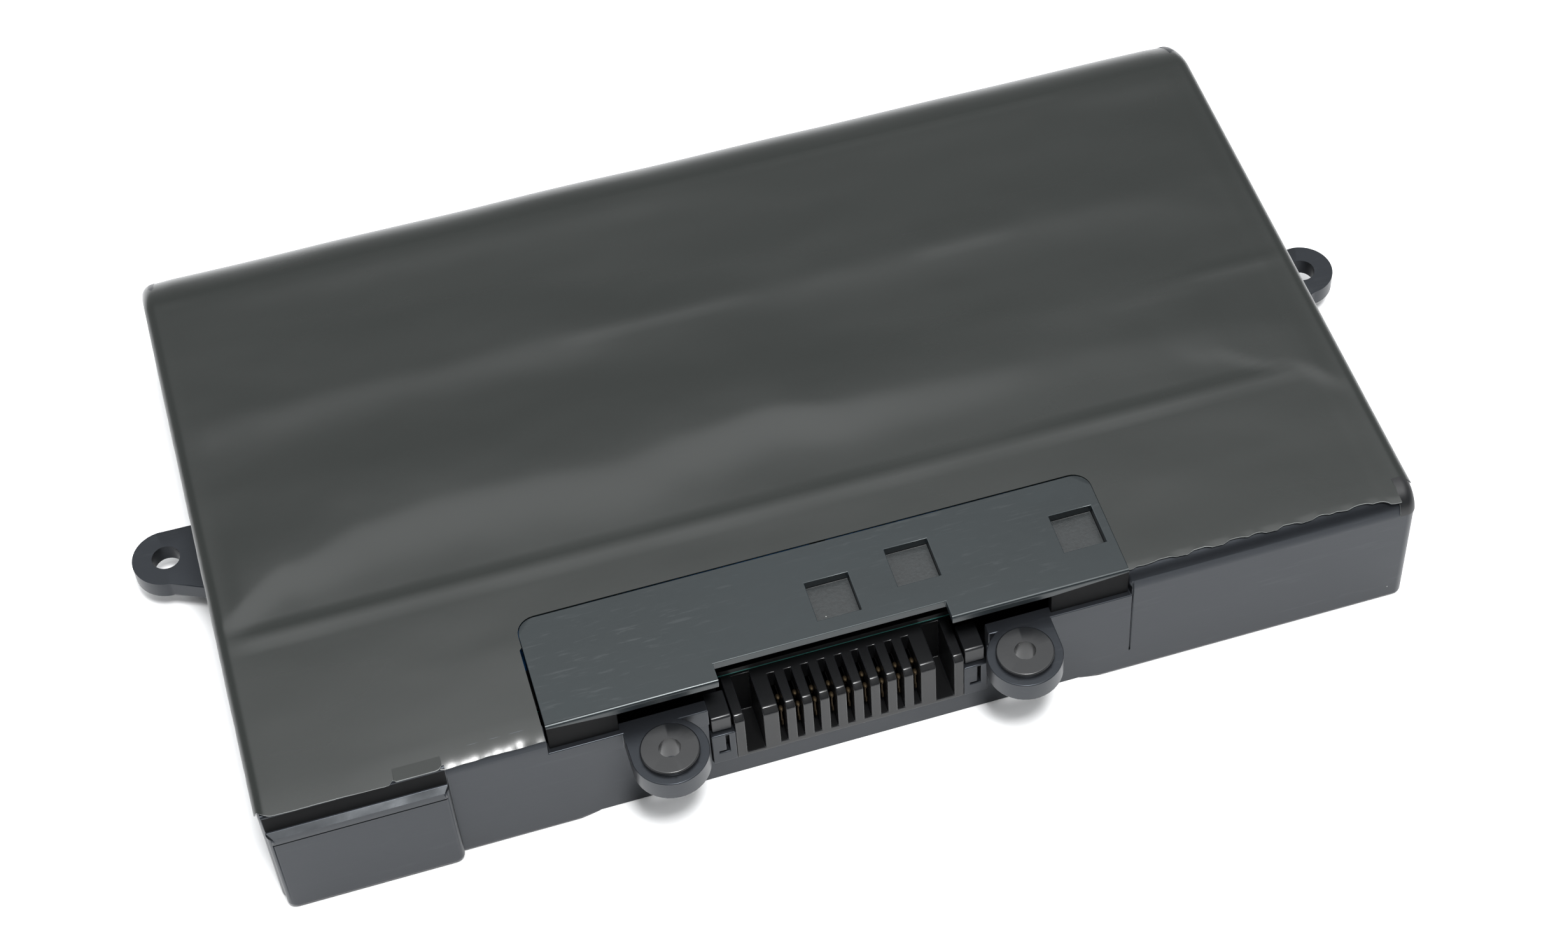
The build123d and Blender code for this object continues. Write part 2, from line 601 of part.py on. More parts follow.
def all_pieces():
    """Every node's name and solid, in tray coordinates."""
    pieces = {
        "tray": make_tray(),
        "film_wrap": make_film(),
        "connector_cover": make_cover(),
        "connector_housing": make_housing(),
        "connector_clip_left": make_clip(-1),
        "connector_clip_right": make_clip(1),
        "ear_bush_left": make_bush(FRONT_EAR_X[0]),
        "ear_bush_right": make_bush(FRONT_EAR_X[1]),
        "side_ear_left": make_side_ear(0, -1, SIDE_EAR_OUT[0]),
        "side_ear_right": make_side_ear(WIDTH, 1, SIDE_EAR_OUT[1]),
        "circuit_board": make_board(),
    }
    for index in range(CONTACTS):
        pieces[f"contact_{index + 1}"] = make_contact(index)
    for row in range(ROWS):
        for column in (0, 1):
            number = row * 2 + column + 1
            pieces[f"cell_{number}"] = make_cell(row, column)
            pieces[f"cell_cap_{number}"] = make_cap(row, column)
    for column, side in enumerate(("left", "right")):
        pieces[f"link_{side}_front"] = make_front_link(column)
        pieces[f"link_{side}_rear"] = make_end_link(column, 2)
        pieces[f"end_insulator_{side}"] = make_end_insulator(column)
        pieces[f"foam_pad_{side}"] = make_foam(column)
    pieces["link_centre"] = centre_strip(row_y(1) - STRIP_PAST, row_y(2) + STRIP_PAST)
    pieces["lead_negative"] = make_lead(0, 0, BOARD_BACK - 0.9)
    pieces["lead_positive"] = make_lead(ROWS - 1, POSITIVE_LEAD_RISE, BOARD_BACK - 2.2)
    pieces["centre_insulator"] = make_centre_insulator()
    pieces["thermistor"] = valley_rod(MID_X - 41, MID_X - 36, 0.9)
    pieces["thermal_fuse"] = valley_rod(MID_X + 21, MID_X + 33, 1.4)
    pieces["gauge_chip"] = on_board(-21, BOARD_MID, 5.0, 4.4, 1.0)
    pieces["protector_chip"] = on_board(7, BOARD_MID, 5.0, 4.4, 1.4)
    pieces["mosfet_charge"] = on_board(15, BOARD_MID, 4.9, 5.0, 1.0)
    pieces["mosfet_discharge"] = on_board(21.5, BOARD_MID, 4.9, 5.0, 1.0)
    pieces["current_shunt"] = on_board(28.5, BOARD_MID, 3.2, 5.0, 0.8)
    pieces["chemical_fuse"] = on_board(34, BOARD_MID, 4.0, 3.2, 1.5)
    pieces["capacitors"] = make_capacitors()
    return pieces


def main():
    """Move every piece to the pack's frame and write it."""
    os.makedirs("parts", exist_ok=True)
    to_origin = Location((-WIDTH / 2, -DEPTH / 2, 0))
    for name, piece in all_pieces().items():
        export_step(piece.moved(to_origin), f"parts/{name}.step")


main()
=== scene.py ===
"""Replaceable battery pack of a portable computer, ready to render.

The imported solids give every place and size.  The outer pieces are rebuilt with
broken edges, the film is a new sheet of mesh, and every piece gets a
node-based finish.  Lengths named in millimetres are in the pack's own drawing
frame: X from the left wall, Y back from the front wall's face, Z up.
"""

from __future__ import annotations

import json
import logging
import math
from dataclasses import dataclass, field
from enum import Enum
from typing import Callable, ClassVar, Iterable, Sequence

import bmesh
import bpy
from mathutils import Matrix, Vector, noise

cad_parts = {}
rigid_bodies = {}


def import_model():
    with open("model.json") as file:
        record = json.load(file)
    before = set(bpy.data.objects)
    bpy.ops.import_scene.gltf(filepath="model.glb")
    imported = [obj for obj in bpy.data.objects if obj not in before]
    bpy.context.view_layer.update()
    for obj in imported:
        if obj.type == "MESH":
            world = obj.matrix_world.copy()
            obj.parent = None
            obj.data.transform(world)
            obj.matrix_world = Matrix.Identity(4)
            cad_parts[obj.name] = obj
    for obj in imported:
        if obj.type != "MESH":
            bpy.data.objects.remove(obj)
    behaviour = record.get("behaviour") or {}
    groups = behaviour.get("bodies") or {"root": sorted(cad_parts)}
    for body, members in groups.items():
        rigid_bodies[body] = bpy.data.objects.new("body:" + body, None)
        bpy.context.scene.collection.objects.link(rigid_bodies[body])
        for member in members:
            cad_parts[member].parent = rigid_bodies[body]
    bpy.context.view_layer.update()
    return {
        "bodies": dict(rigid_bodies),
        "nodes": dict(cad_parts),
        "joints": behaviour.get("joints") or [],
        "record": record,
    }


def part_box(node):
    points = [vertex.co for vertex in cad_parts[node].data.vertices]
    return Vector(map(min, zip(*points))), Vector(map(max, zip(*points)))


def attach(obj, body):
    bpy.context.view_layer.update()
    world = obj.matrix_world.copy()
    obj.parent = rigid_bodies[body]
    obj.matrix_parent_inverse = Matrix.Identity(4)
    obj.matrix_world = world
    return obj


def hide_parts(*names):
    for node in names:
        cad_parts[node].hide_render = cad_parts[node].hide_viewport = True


MM = 0.001
ROOT = "root"
LOG = logging.getLogger("battery_pack")
Colour = tuple[float, float, float]
Place = tuple[float, float, float]
Table = tuple[tuple[float, float], ...]


# --------------------------------------------------------------------------
# Small tools
# --------------------------------------------------------------------------
def smooth(value: float, low: float, high: float) -> float:
    """Rise smoothly from 0 at low to 1 at high.

    Args:
        value: where to read the step.
        low: start of the rise.
        high: end of the rise.

    Returns:
        A number from 0 to 1.
    """
    share = min(max((value - low) / (high - low), 0.0), 1.0)
    return share * share * (3 - 2 * share)


def along(table: Table, value: float) -> float:
    """Read a smooth curve that is given by a few points.

    Args:
        table: points as (place, height), in rising order of place.
        value: the place to read.

    Returns:
        The height there, level before the first and after the last point.
    """
    if value <= table[0][0]:
        return table[0][1]
    for (x0, y0), (x1, y1) in zip(table, table[1:]):
        if value <= x1:
            return y0 + (y1 - y0) * smooth(value, x0, x1)
    return table[-1][1]


def steps(start: float, stop: float, step: float) -> list[float]:
    """Even places from start to stop, both included."""
    count = max(1, round((stop - start) / step))
    return [start + (stop - start) * i / count for i in range(count + 1)]


def quarter(
    centre: tuple[float, float], radius: float, start: float, count: int
) -> list[tuple[float, float]]:
    """Points round a quarter turn, without its two ends.

    Args:
        centre: the round's centre.
        radius: its radius.
        start: where it starts, in quarter turns from +X.
        count: how many points.

    Returns:
        The points, counter-clockwise.
    """
    turns = [math.pi / 2 * (start + k / (count + 1)) for k in range(1, count + 1)]
    return [(centre[0] + radius * math.cos(t), centre[1] + radius * math.sin(t)) for t in turns]


@dataclass
class Datum:
    """Corner of the pack's drawing frame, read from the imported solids."""

    left: float
    front: float

    @classmethod
    def from_pack(cls) -> "Datum":
        """Take the corner from the film's box, whose body is centred on the origin."""
        low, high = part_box("film_wrap")
        return cls(left=low.x, front=-high.y)

    def at(self, x: float, y: float, z: float) -> Vector:
        """Turn a place in drawing millimetres into the shared frame in metres.

        Args:
            x: millimetres from the left wall.
            y: millimetres back from the front wall's face.
            z: millimetres up.

        Returns:
            The same place in metres.
        """
        return Vector((self.left + x * MM, self.front + y * MM, z * MM))

    def drawn_box(self, node: str) -> tuple[Vector, Vector]:
        """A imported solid's box in drawing millimetres.

        Args:
            node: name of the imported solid.

        Returns:
            Its lowest and highest corners.
        """
        low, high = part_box(node)
        corner = Vector((self.left, self.front, 0.0))
        return (low - corner) / MM, (high - corner) / MM


# --------------------------------------------------------------------------
# Shader groups
# --------------------------------------------------------------------------
class Graph:
    """A node tree with short calls to add and join nodes."""

    def __init__(self, tree: bpy.types.NodeTree) -> None:
        """Keep the tree."""
        self.tree = tree

    def add(self, kind: str, **settings: object) -> bpy.types.Node:
        """Add a node and set its own properties.

        Args:
            kind: the node's type name.
            settings: properties and their values.

        Returns:
            The node.
        """
        node = self.tree.nodes.new(kind)
        for name, value in settings.items():
            setattr(node, name, value)
        return node

    def join(self, source: bpy.types.NodeSocket, target: bpy.types.NodeSocket) -> None:
        """Join two sockets."""
        self.tree.links.new(source, target)

    def feed(self, value: object, target: bpy.types.NodeSocket) -> None:
        """Join a socket to the target, or set the target's own value."""
        if isinstance(value, bpy.types.NodeSocket):
            self.join(value, target)
        else:
            target.default_value = value

    def calc(
        self, operation: str, first: object, second: object = 0.0, clamp: bool = False
    ) -> bpy.types.NodeSocket:
        """Add a math node.

        Args:
            operation: the math node's operation.
            first: a socket or a number.
            second: a socket or a number.
            clamp: whether the result stays from 0 to 1.

        Returns:
            The result's socket.
        """
        node = self.add("ShaderNodeMath", operation=operation, use_clamp=clamp)
        self.feed(first, node.inputs[0])
        self.feed(second, node.inputs[1])
        return node.outputs[0]

    def remap(
        self, value: object, low: float, high: float, to_low: float, to_high: float
    ) -> bpy.types.NodeSocket:
        """Add a clamped linear map from one range to another.

        Args:
            value: a socket or a number.
            low: start of the range read.
            high: end of the range read.
            to_low: result at low.
            to_high: result at high.

        Returns:
            The result's socket.
        """
        node = self.add("ShaderNodeMapRange", clamp=True)
        for index, given in enumerate((value, low, high, to_low, to_high)):
            self.feed(given, node.inputs[index])
        return node.outputs[0]

    def blend(self, share: object, first: object, second: object) -> bpy.types.NodeSocket:
        """Mix two colours.

        Args:
            share: how much of the second shows.
            first: a colour or a socket.
            second: a colour or a socket.

        Returns:
            The mixed colour's socket.
        """
        node = self.add("ShaderNodeMix", data_type="RGBA")
        self.feed(share, node.inputs[0])
        self.feed(first, node.inputs[6])
        self.feed(second, node.inputs[7])
        return node.outputs[2]

    def grain(self, place: object, scale: object, detail: float, rough: float = 0.5) -> bpy.types.NodeSocket:
        """Add a noise texture and return its value.

        Args:
            place: coordinates to read it at.
            scale: features per metre.
            detail: octaves.
            rough: strength of the finer octaves.

        Returns:
            The noise value's socket, from 0 to 1.
        """
        node = self.add("ShaderNodeTexNoise")
        self.feed(place, node.inputs["Vector"])
        self.feed(scale, node.inputs["Scale"])
        node.inputs["Detail"].default_value = detail
        node.inputs["Roughness"].default_value = rough
        return node.outputs["Fac"]


class Effect(Enum):
    """Shared surface effects, each one shader node group."""

    MOULD_TEXTURE = "mould_texture"
    FINE_SCRATCHES = "fine_scratches"
    DUST_SPECKS = "dust_specks"
    # Lighter, glossier edges: rubbing wear and a painted highlight.
    EDGE_WEAR_AND_HIGHLIGHT = "edge_wear_and_painted_highlight"
    CLOUDY_TONE = "cloudy_tone"


class EffectLibrary:
    """Builds each shared node group once."""

    def __init__(self) -> None:
        """Build every group."""
        self.groups: dict[Effect, bpy.types.NodeTree] = {
            Effect.MOULD_TEXTURE: self._mould_texture(),
            Effect.FINE_SCRATCHES: self._fine_scratches(),
            Effect.DUST_SPECKS: self._dust_specks(),
            Effect.EDGE_WEAR_AND_HIGHLIGHT: self._edge_wear_and_highlight(),
            Effect.CLOUDY_TONE: self._cloudy_tone(),
        }

    @staticmethod
    def _start(effect: Effect, inputs: dict[str, float], outputs: Iterable[str]) -> tuple[Graph, dict, dict]:
        """Make a group with named float sockets.

        Args:
            effect: which effect it is.
            inputs: socket names and their default values.
            outputs: socket names.

        Returns:
            The graph, the input sockets and the output sockets by name.
        """
        tree = bpy.data.node_groups.new(effect.value, "ShaderNodeTree")
        for name, value in inputs.items():
            socket = tree.interface.new_socket(name=name, in_out="INPUT", socket_type="NodeSocketFloat")
            socket.default_value = value
        for name in outputs:
            tree.interface.new_socket(name=name, in_out="OUTPUT", socket_type="NodeSocketFloat")
        graph = Graph(tree)
        given = graph.add("NodeGroupInput")
        result = graph.add("NodeGroupOutput")
        return graph, {s.name: s for s in given.outputs}, {s.name: s for s in result.inputs}

    def _mould_texture(self) -> bpy.types.NodeTree:
        """Fine spark-eroded texture: Height in metres and Tone round 1."""
        graph, given, result = self._start(
            Effect.MOULD_TEXTURE, {"Scale": 2500.0, "Depth": 4e-6, "Spread": 0.1}, ("Height", "Tone")
        )
        place = graph.add("ShaderNodeTexCoord").outputs["Object"]
        coarse = graph.grain(place, given["Scale"], 2.0)
        fine = graph.grain(place, graph.calc("MULTIPLY", given["Scale"], 2.7), 1.0)
        mixed = graph.calc("ADD", graph.calc("MULTIPLY", coarse, 0.65), graph.calc("MULTIPLY", fine, 0.35))
        graph.join(graph.calc("MULTIPLY", mixed, given["Depth"]), result["Height"])
        centred = graph.calc("SUBTRACT", mixed, 0.5)
        swing = graph.calc("MULTIPLY", centred, given["Spread"])
        graph.join(graph.calc("ADD", swing, 1.0), result["Tone"])
        return graph.tree

    def _fine_scratches(self) -> bpy.types.NodeTree:
        """Hairline rub marks that run mostly along X, in loose patches."""
        graph, given, result = self._start(
            Effect.FINE_SCRATCHES, {"Scale": 900.0, "Amount": 0.5, "Patches": 45.0}, ("Mask",)
        )
        place = graph.add("ShaderNodeTexCoord").outputs["Object"]
        stretched = []
        for turn, squeeze in ((0.06, 0.09), (-0.2, 0.14)):
            mapping = graph.add("ShaderNodeMapping")
            mapping.inputs["Rotation"].default_value = (0.0, 0.0, turn)
            mapping.inputs["Scale"].default_value = (squeeze, 1.0, 1.0)
            graph.join(place, mapping.inputs["Vector"])
            hair = graph.grain(mapping.outputs[0], given["Scale"], 3.0, 0.65)
            stretched.append(graph.remap(hair, 0.6, 0.72, 0.0, 1.0))
        hairs = graph.calc("MAXIMUM", stretched[0], stretched[1])
        patches = graph.remap(graph.grain(place, given["Patches"], 2.0), 0.42, 0.68, 0.15, 1.0)
        shown = graph.calc("MULTIPLY", hairs, patches)
        graph.join(graph.calc("MULTIPLY", shown, given["Amount"], clamp=True), result["Mask"])
        return graph.tree

    def _dust_specks(self) -> bpy.types.NodeTree:
        """Sparse pale specks: a Mask of small round dots of unequal size."""
        graph, given, result = self._start(
            Effect.DUST_SPECKS, {"Scale": 160.0, "Size": 0.02, "Share": 0.1}, ("Mask",)
        )
        place = graph.add("ShaderNodeTexCoord").outputs["Object"]
        cells = graph.add("ShaderNodeTexVoronoi", feature="F1")
        graph.join(place, cells.inputs["Vector"])
        graph.join(given["Scale"], cells.inputs["Scale"])
        pick = graph.add("ShaderNodeSeparateColor")
        graph.join(cells.outputs["Color"], pick.inputs[0])
        limit = graph.calc("SUBTRACT", 1.0, given["Share"])
        chosen = graph.calc("GREATER_THAN", pick.outputs[0], limit)
        radius = graph.calc("MULTIPLY", given["Size"], graph.calc("ADD", pick.outputs[1], 0.35))
        inside = graph.calc("DIVIDE", cells.outputs["Distance"], radius)
        dot = graph.remap(inside, 0.6, 1.0, 1.0, 0.0)
        graph.join(graph.calc("MULTIPLY", dot, chosen), result["Mask"])
        return graph.tree

    def _edge_wear_and_highlight(self) -> bpy.types.NodeTree:
        """Lighter, glossier broken edges, partly rubbing wear and partly a painted highlight: a Mask from
        the mesh's own edge marks, patchy along the edge.
        """
        graph, given, result = self._start(
            Effect.EDGE_WEAR_AND_HIGHLIGHT, {"Amount": 0.6, "Patches": 300.0}, ("Mask",)
        )
        mark = graph.add("ShaderNodeAttribute", attribute_name="edge_mark", attribute_type="GEOMETRY")
        place = graph.add("ShaderNodeTexCoord").outputs["Object"]
        patches = graph.remap(graph.grain(place, given["Patches"], 3.0), 0.35, 0.65, 0.35, 1.0)
        shown = graph.calc("MULTIPLY", mark.outputs["Fac"], patches)
        graph.join(graph.calc("MULTIPLY", shown, given["Amount"], clamp=True), result["Mask"])
        return graph.tree

    def _cloudy_tone(self) -> bpy.types.NodeTree:
        """Broad handling marks: Tone round 1 and Haze from 0 to 1."""
        graph, given, result = self._start(
            Effect.CLOUDY_TONE, {"Scale": 40.0, "Spread": 0.2, "Stretch": 0.5}, ("Tone", "Haze")
        )
        place = graph.add("ShaderNodeTexCoord").outputs["Object"]
        parts = graph.add("ShaderNodeSeparateXYZ")
        graph.join(place, parts.inputs[0])
        bundle = graph.add("ShaderNodeCombineXYZ")
        graph.join(graph.calc("MULTIPLY", parts.outputs[0], given["Stretch"]), bundle.inputs[0])
        graph.join(parts.outputs[1], bundle.inputs[1])
        graph.join(parts.outputs[2], bundle.inputs[2])
        cloud = graph.grain(bundle.outputs[0], given["Scale"], 4.0, 0.55)
        swing = graph.calc("MULTIPLY", graph.calc("SUBTRACT", cloud, 0.5), given["Spread"])
        graph.join(graph.calc("ADD", swing, 1.0), result["Tone"])
        graph.join(graph.remap(cloud, 0.35, 0.7, 0.0, 1.0), result["Haze"])
        return graph.tree

    def place(self, graph: Graph, effect: Effect, **values: float) -> bpy.types.Node:
        """Put a group into a material's tree with its own values.

        Args:
            graph: the material's graph.
            effect: which effect.
            values: input values, by socket name.

        Returns:
            The group node.
        """
        node = graph.add("ShaderNodeGroup", node_tree=self.groups[effect])
        for name, value in values.items():
            node.inputs[name].default_value = value
        return node


# --------------------------------------------------------------------------
# Finishes
# --------------------------------------------------------------------------
@dataclass(frozen=True)
class Finish:
    """One surface finish.

    Lengths are in metres, scales in features per metre and colours linear.
    """

    name: str
    colour: Colour
    roughness: float
    metallic: float = 0.0
    specular: float = 0.5
    tint: Colour = (1.0, 1.0, 1.0)
    grain_scale: float = 2500.0
    grain_depth: float = 4e-6
    grain_spread: float = 0.25
    cloud_scale: float = 40.0
    cloud_spread: float = 0.25
    cloud_stretch: float = 0.6
    haze_roughness: float = 0.06
    scratch: float = 0.0
    scratch_scale: float = 900.0
    scratch_colour: Colour = (0.1, 0.105, 0.11)
    scratch_depth: float = 3e-6
    scratch_patches: float = 45.0
    dust: float = 0.0
    dust_size: float = 0.02
    dust_scale: float = 160.0
    dust_colour: Colour = (0.6, 0.62, 0.6)
    dust_roughness: float = 0.9
    edge: float = 0.0
    edge_roughness: float = 0.25
    edge_patches: float = 300.0
    edge_wear_highlight_gain: float = 1.8
    wave_scale: float = 0.0
    wave_depth: float = 0.0
    coat: float = 0.0
    coat_roughness: float = 0.2

    def build(self, effects: EffectLibrary) -> bpy.types.Material:
        """Make the material.

        Args:
            effects: the shared node groups.

        Returns:
            The material.
        """
        material = bpy.data.materials.new(self.name)
        material.use_nodes = True
        graph = Graph(material.node_tree)
        shader = material.node_tree.nodes["Principled BSDF"]
        shader.inputs["Metallic"].default_value = self.metallic
        shader.inputs["Specular IOR Level"].default_value = self.specular
        shader.inputs["Specular Tint"].default_value = (*self.tint, 1.0)
        if self.coat:
            shader.inputs["Coat Weight"].default_value = self.coat
            shader.inputs["Coat Roughness"].default_value = self.coat_roughness
        texture = effects.place(
            graph, Effect.MOULD_TEXTURE,
            Scale=self.grain_scale, Depth=self.grain_depth, Spread=self.grain_spread,
        )
        cloud = effects.place(
            graph, Effect.CLOUDY_TONE,
            Scale=self.cloud_scale, Spread=self.cloud_spread, Stretch=self.cloud_stretch,
        )
        tone = graph.calc("MULTIPLY", texture.outputs["Tone"], cloud.outputs["Tone"])
        toned = graph.add("ShaderNodeVectorMath", operation="SCALE")
        toned.inputs[0].default_value = self.colour
        graph.join(tone, toned.inputs["Scale"])
        colour = toned.outputs[0]
        rough = graph.calc("MULTIPLY", cloud.outputs["Haze"], self.haze_roughness)
        rough = graph.calc("ADD", rough, self.roughness, clamp=True)
        height = texture.outputs["Height"]
        if self.scratch:
            marks = effects.place(
                graph, Effect.FINE_SCRATCHES, Scale=self.scratch_scale, Amount=self.scratch,
                Patches=self.scratch_patches,
            ).outputs["Mask"]
            colour = graph.blend(marks, colour, (*self.scratch_colour, 1.0))
            height = graph.calc("SUBTRACT", height, graph.calc("MULTIPLY", marks, self.scratch_depth))
        # Edges: lighter colour and lower roughness, rubbing wear and a painted highlight.
        if self.edge:
            edge_wear_highlight_mask = effects.place(
                graph, Effect.EDGE_WEAR_AND_HIGHLIGHT, Amount=self.edge, Patches=self.edge_patches
            ).outputs["Mask"]
            edge_wear_highlight_colour = tuple(min(1.0, part * self.edge_wear_highlight_gain) for part in self.colour)
            colour = graph.blend(edge_wear_highlight_mask, colour, (*edge_wear_highlight_colour, 1.0))
            drop = graph.calc("MULTIPLY", edge_wear_highlight_mask, self.roughness - self.edge_roughness)
            rough = graph.calc("SUBTRACT", rough, drop, clamp=True)
        if self.dust:
            specks = effects.place(
                graph, Effect.DUST_SPECKS, Scale=self.dust_scale, Size=self.dust_size, Share=self.dust
            ).outputs["Mask"]
            colour = graph.blend(specks, colour, (*self.dust_colour, 1.0))
            rough = graph.calc("MAXIMUM", rough, graph.calc("MULTIPLY", specks, self.dust_roughness))
        if self.wave_depth:
            place = graph.add("ShaderNodeTexCoord").outputs["Object"]
            wave = graph.grain(place, self.wave_scale, 3.0, 0.45)
            height = graph.calc("ADD", height, graph.calc("MULTIPLY", wave, self.wave_depth))
        bump = graph.add("ShaderNodeBump")
        bump.inputs["Distance"].default_value = 1.0
        bump.inputs["Strength"].default_value = 1.0
        graph.join(height, bump.inputs["Height"])
        graph.join(colour, shader.inputs["Base Color"])
        graph.join(rough, shader.inputs["Roughness"])
        graph.join(bump.outputs["Normal"], shader.inputs["Normal"])
        return material


FINISHES: dict[str, Finish] = {
    f.name: f
    for f in (
        Finish("tray_plastic", (0.0068, 0.0074, 0.0088), 0.34, specular=0.4, tint=(0.78, 0.86, 0.97),
               grain_scale=2600, grain_depth=5e-6, cloud_spread=0.3, edge=0.6, edge_roughness=0.24,
               scratch=0.1, dust=0.05, dust_size=0.014),
        Finish("polished_ledge", (0.0068, 0.0074, 0.0088), 0.3, specular=0.2, tint=(0.88, 0.94, 1.0),
               grain_scale=2600, cloud_spread=0.6, cloud_scale=260, haze_roughness=0.16, wave_scale=260,
               wave_depth=3.2e-5, dust=0.1, dust_size=0.02),
        # Near-black, low-specular copy of the tray plastic: painted shade for recessed and underlying faces.
        Finish("painted_shade_plastic", (0.004, 0.0042, 0.0046), 0.6, specular=0.08, grain_scale=2600,
               cloud_spread=0.4, dust=0.04, dust_size=0.014),
        Finish("insulating_film", (0.0068, 0.0088, 0.0078), 0.24, grain_scale=1700, grain_depth=3.5e-6,
               grain_spread=0.3, cloud_scale=28, cloud_spread=0.35, cloud_stretch=0.35, dust=0.1,
               dust_size=0.03, dust_scale=150, wave_scale=220, wave_depth=6e-6),
        # Pale colour on the cut edges of the film and the tape: a painted highlight along the edge.
        Finish("film_cut_painted_highlight", (0.16, 0.17, 0.168), 0.4, grain_scale=2600, grain_depth=3e-6, grain_spread=0.6,
               cloud_scale=500, cloud_spread=1.6),
        Finish("cover_plastic", (0.0066, 0.0092, 0.0108), 0.28, tint=(0.92, 0.99, 1.0), grain_scale=3000,
               grain_depth=3e-6, cloud_scale=110, cloud_spread=0.9, cloud_stretch=0.3, haze_roughness=0.14,
               wave_scale=420, wave_depth=1.1e-5, scratch=0.14, scratch_scale=1900, edge=0.8,
               edge_roughness=0.22, dust=0.08, dust_size=0.016),
        Finish("pocket_floor", (0.013, 0.0155, 0.0165), 0.42, grain_scale=2300, grain_depth=3.2e-5,
               grain_spread=1.6, cloud_spread=0.6, cloud_scale=300, dust=0.3, dust_size=0.05,
               dust_scale=900),
        Finish("connector_plastic", (0.0055, 0.0058, 0.0064), 0.34, specular=0.36, grain_scale=2600,
               grain_depth=3e-6, cloud_spread=0.4, cloud_scale=90, edge=0.9, edge_roughness=0.16, dust=0.05,
               dust_size=0.014),
        # Near-black, low-specular plastic: painted shade on the slot floors and the slot backs.
        Finish("slot_painted_shade", (0.003, 0.0031, 0.0034), 0.6, specular=0.1, grain_scale=2600,
               cloud_spread=0.4),
        Finish("clip_plastic", (0.0065, 0.007, 0.008), 0.36, specular=0.42, grain_scale=2600, edge=0.7,
               dust=0.04),
        Finish("bush_plastic", (0.0066, 0.0072, 0.0082), 0.28, grain_scale=2200, edge=0.8,
               edge_roughness=0.15, dust=0.3, dust_size=0.035, dust_scale=420),
        Finish("contact_gold", (1.0, 0.78, 0.38), 0.42, metallic=1.0, grain_scale=1500, grain_depth=1e-6,
               grain_spread=0.2, cloud_spread=0.2, cloud_scale=300),
        # Near-black metal on the contact leaves: painted shade down in the slots.
        Finish("contact_alloy_painted_shade", (0.05, 0.037, 0.022), 0.6, metallic=1.0, grain_scale=1500, grain_depth=1e-6,
               grain_spread=0.2, cloud_spread=0.3, cloud_scale=300),
        Finish("board_green", (0.1, 0.42, 0.37), 0.35, grain_scale=1800, cloud_scale=200, cloud_spread=0.5,
               coat=0.4),
        # Near-black board top: painted shade under the cover.
        Finish("board_painted_shade", (0.006, 0.0065, 0.007), 0.4, grain_scale=1800, cloud_scale=200,
               cloud_spread=0.4),
        Finish("cell_sleeve", (0.02, 0.12, 0.32), 0.25, grain_scale=900, cloud_spread=0.3, coat=0.3,
               wave_scale=300, wave_depth=1.5e-5),
        Finish("cell_metal", (0.62, 0.62, 0.6), 0.28, metallic=1.0, scratch=0.4,
               scratch_colour=(0.35, 0.35, 0.34), cloud_spread=0.3),
        Finish("nickel_strip", (0.66, 0.63, 0.57), 0.3, metallic=1.0, scratch=0.5,
               scratch_colour=(0.4, 0.38, 0.34), cloud_spread=0.35, wave_scale=500, wave_depth=2e-5),
        Finish("insulating_paper", (0.42, 0.42, 0.32), 0.85, grain_scale=1500, grain_depth=1.5e-5,
               grain_spread=0.5, cloud_spread=0.35, specular=0.3),
        Finish("black_foam", (0.02, 0.02, 0.021), 0.95, grain_scale=1400, grain_depth=8e-5,
               grain_spread=1.2, specular=0.2),
        Finish("chip_body", (0.012, 0.012, 0.013), 0.5, grain_scale=5000, grain_depth=6e-6,
               grain_spread=0.5),
        Finish("part_metal", (0.5, 0.5, 0.48), 0.35, metallic=1.0, cloud_spread=0.4, scratch=0.3,
               scratch_colour=(0.3, 0.3, 0.29)),
        Finish("capacitor_ceramic", (0.35, 0.22, 0.12), 0.4, grain_scale=4000, cloud_spread=0.4),
    )
}


class Paint:
    """Holds the built materials and puts them on pieces."""

    def __init__(self) -> None:
        """Build every finish."""
        effects = EffectLibrary()
        self.materials = {name: finish.build(effects) for name, finish in FINISHES.items()}

    def dress(self, piece: bpy.types.Object, *finishes: str) -> None:
        """Give a piece its finishes, the first for every face not marked otherwise."""
        piece.data.materials.clear()
        for finish in finishes:
            piece.data.materials.append(self.materials[finish])


# --------------------------------------------------------------------------
# Pieces
# --------------------------------------------------------------------------
def finish_piece(piece: bpy.types.Object, slot: str, *nodes: str) -> bpy.types.Object:
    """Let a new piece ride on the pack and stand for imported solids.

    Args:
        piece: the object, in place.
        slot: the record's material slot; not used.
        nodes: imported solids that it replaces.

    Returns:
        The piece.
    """
    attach(piece, ROOT)
    if nodes:
        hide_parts(*nodes)
    LOG.info("%s: %d faces", piece.name, len(piece.data.polygons))
    return piece


def new_piece(name: str, mesh: bpy.types.Mesh) -> bpy.types.Object:
    """Put a mesh into the scene under a name."""
    piece = bpy.data.objects.new(name, mesh)
    bpy.context.scene.collection.objects.link(piece)
    return piece


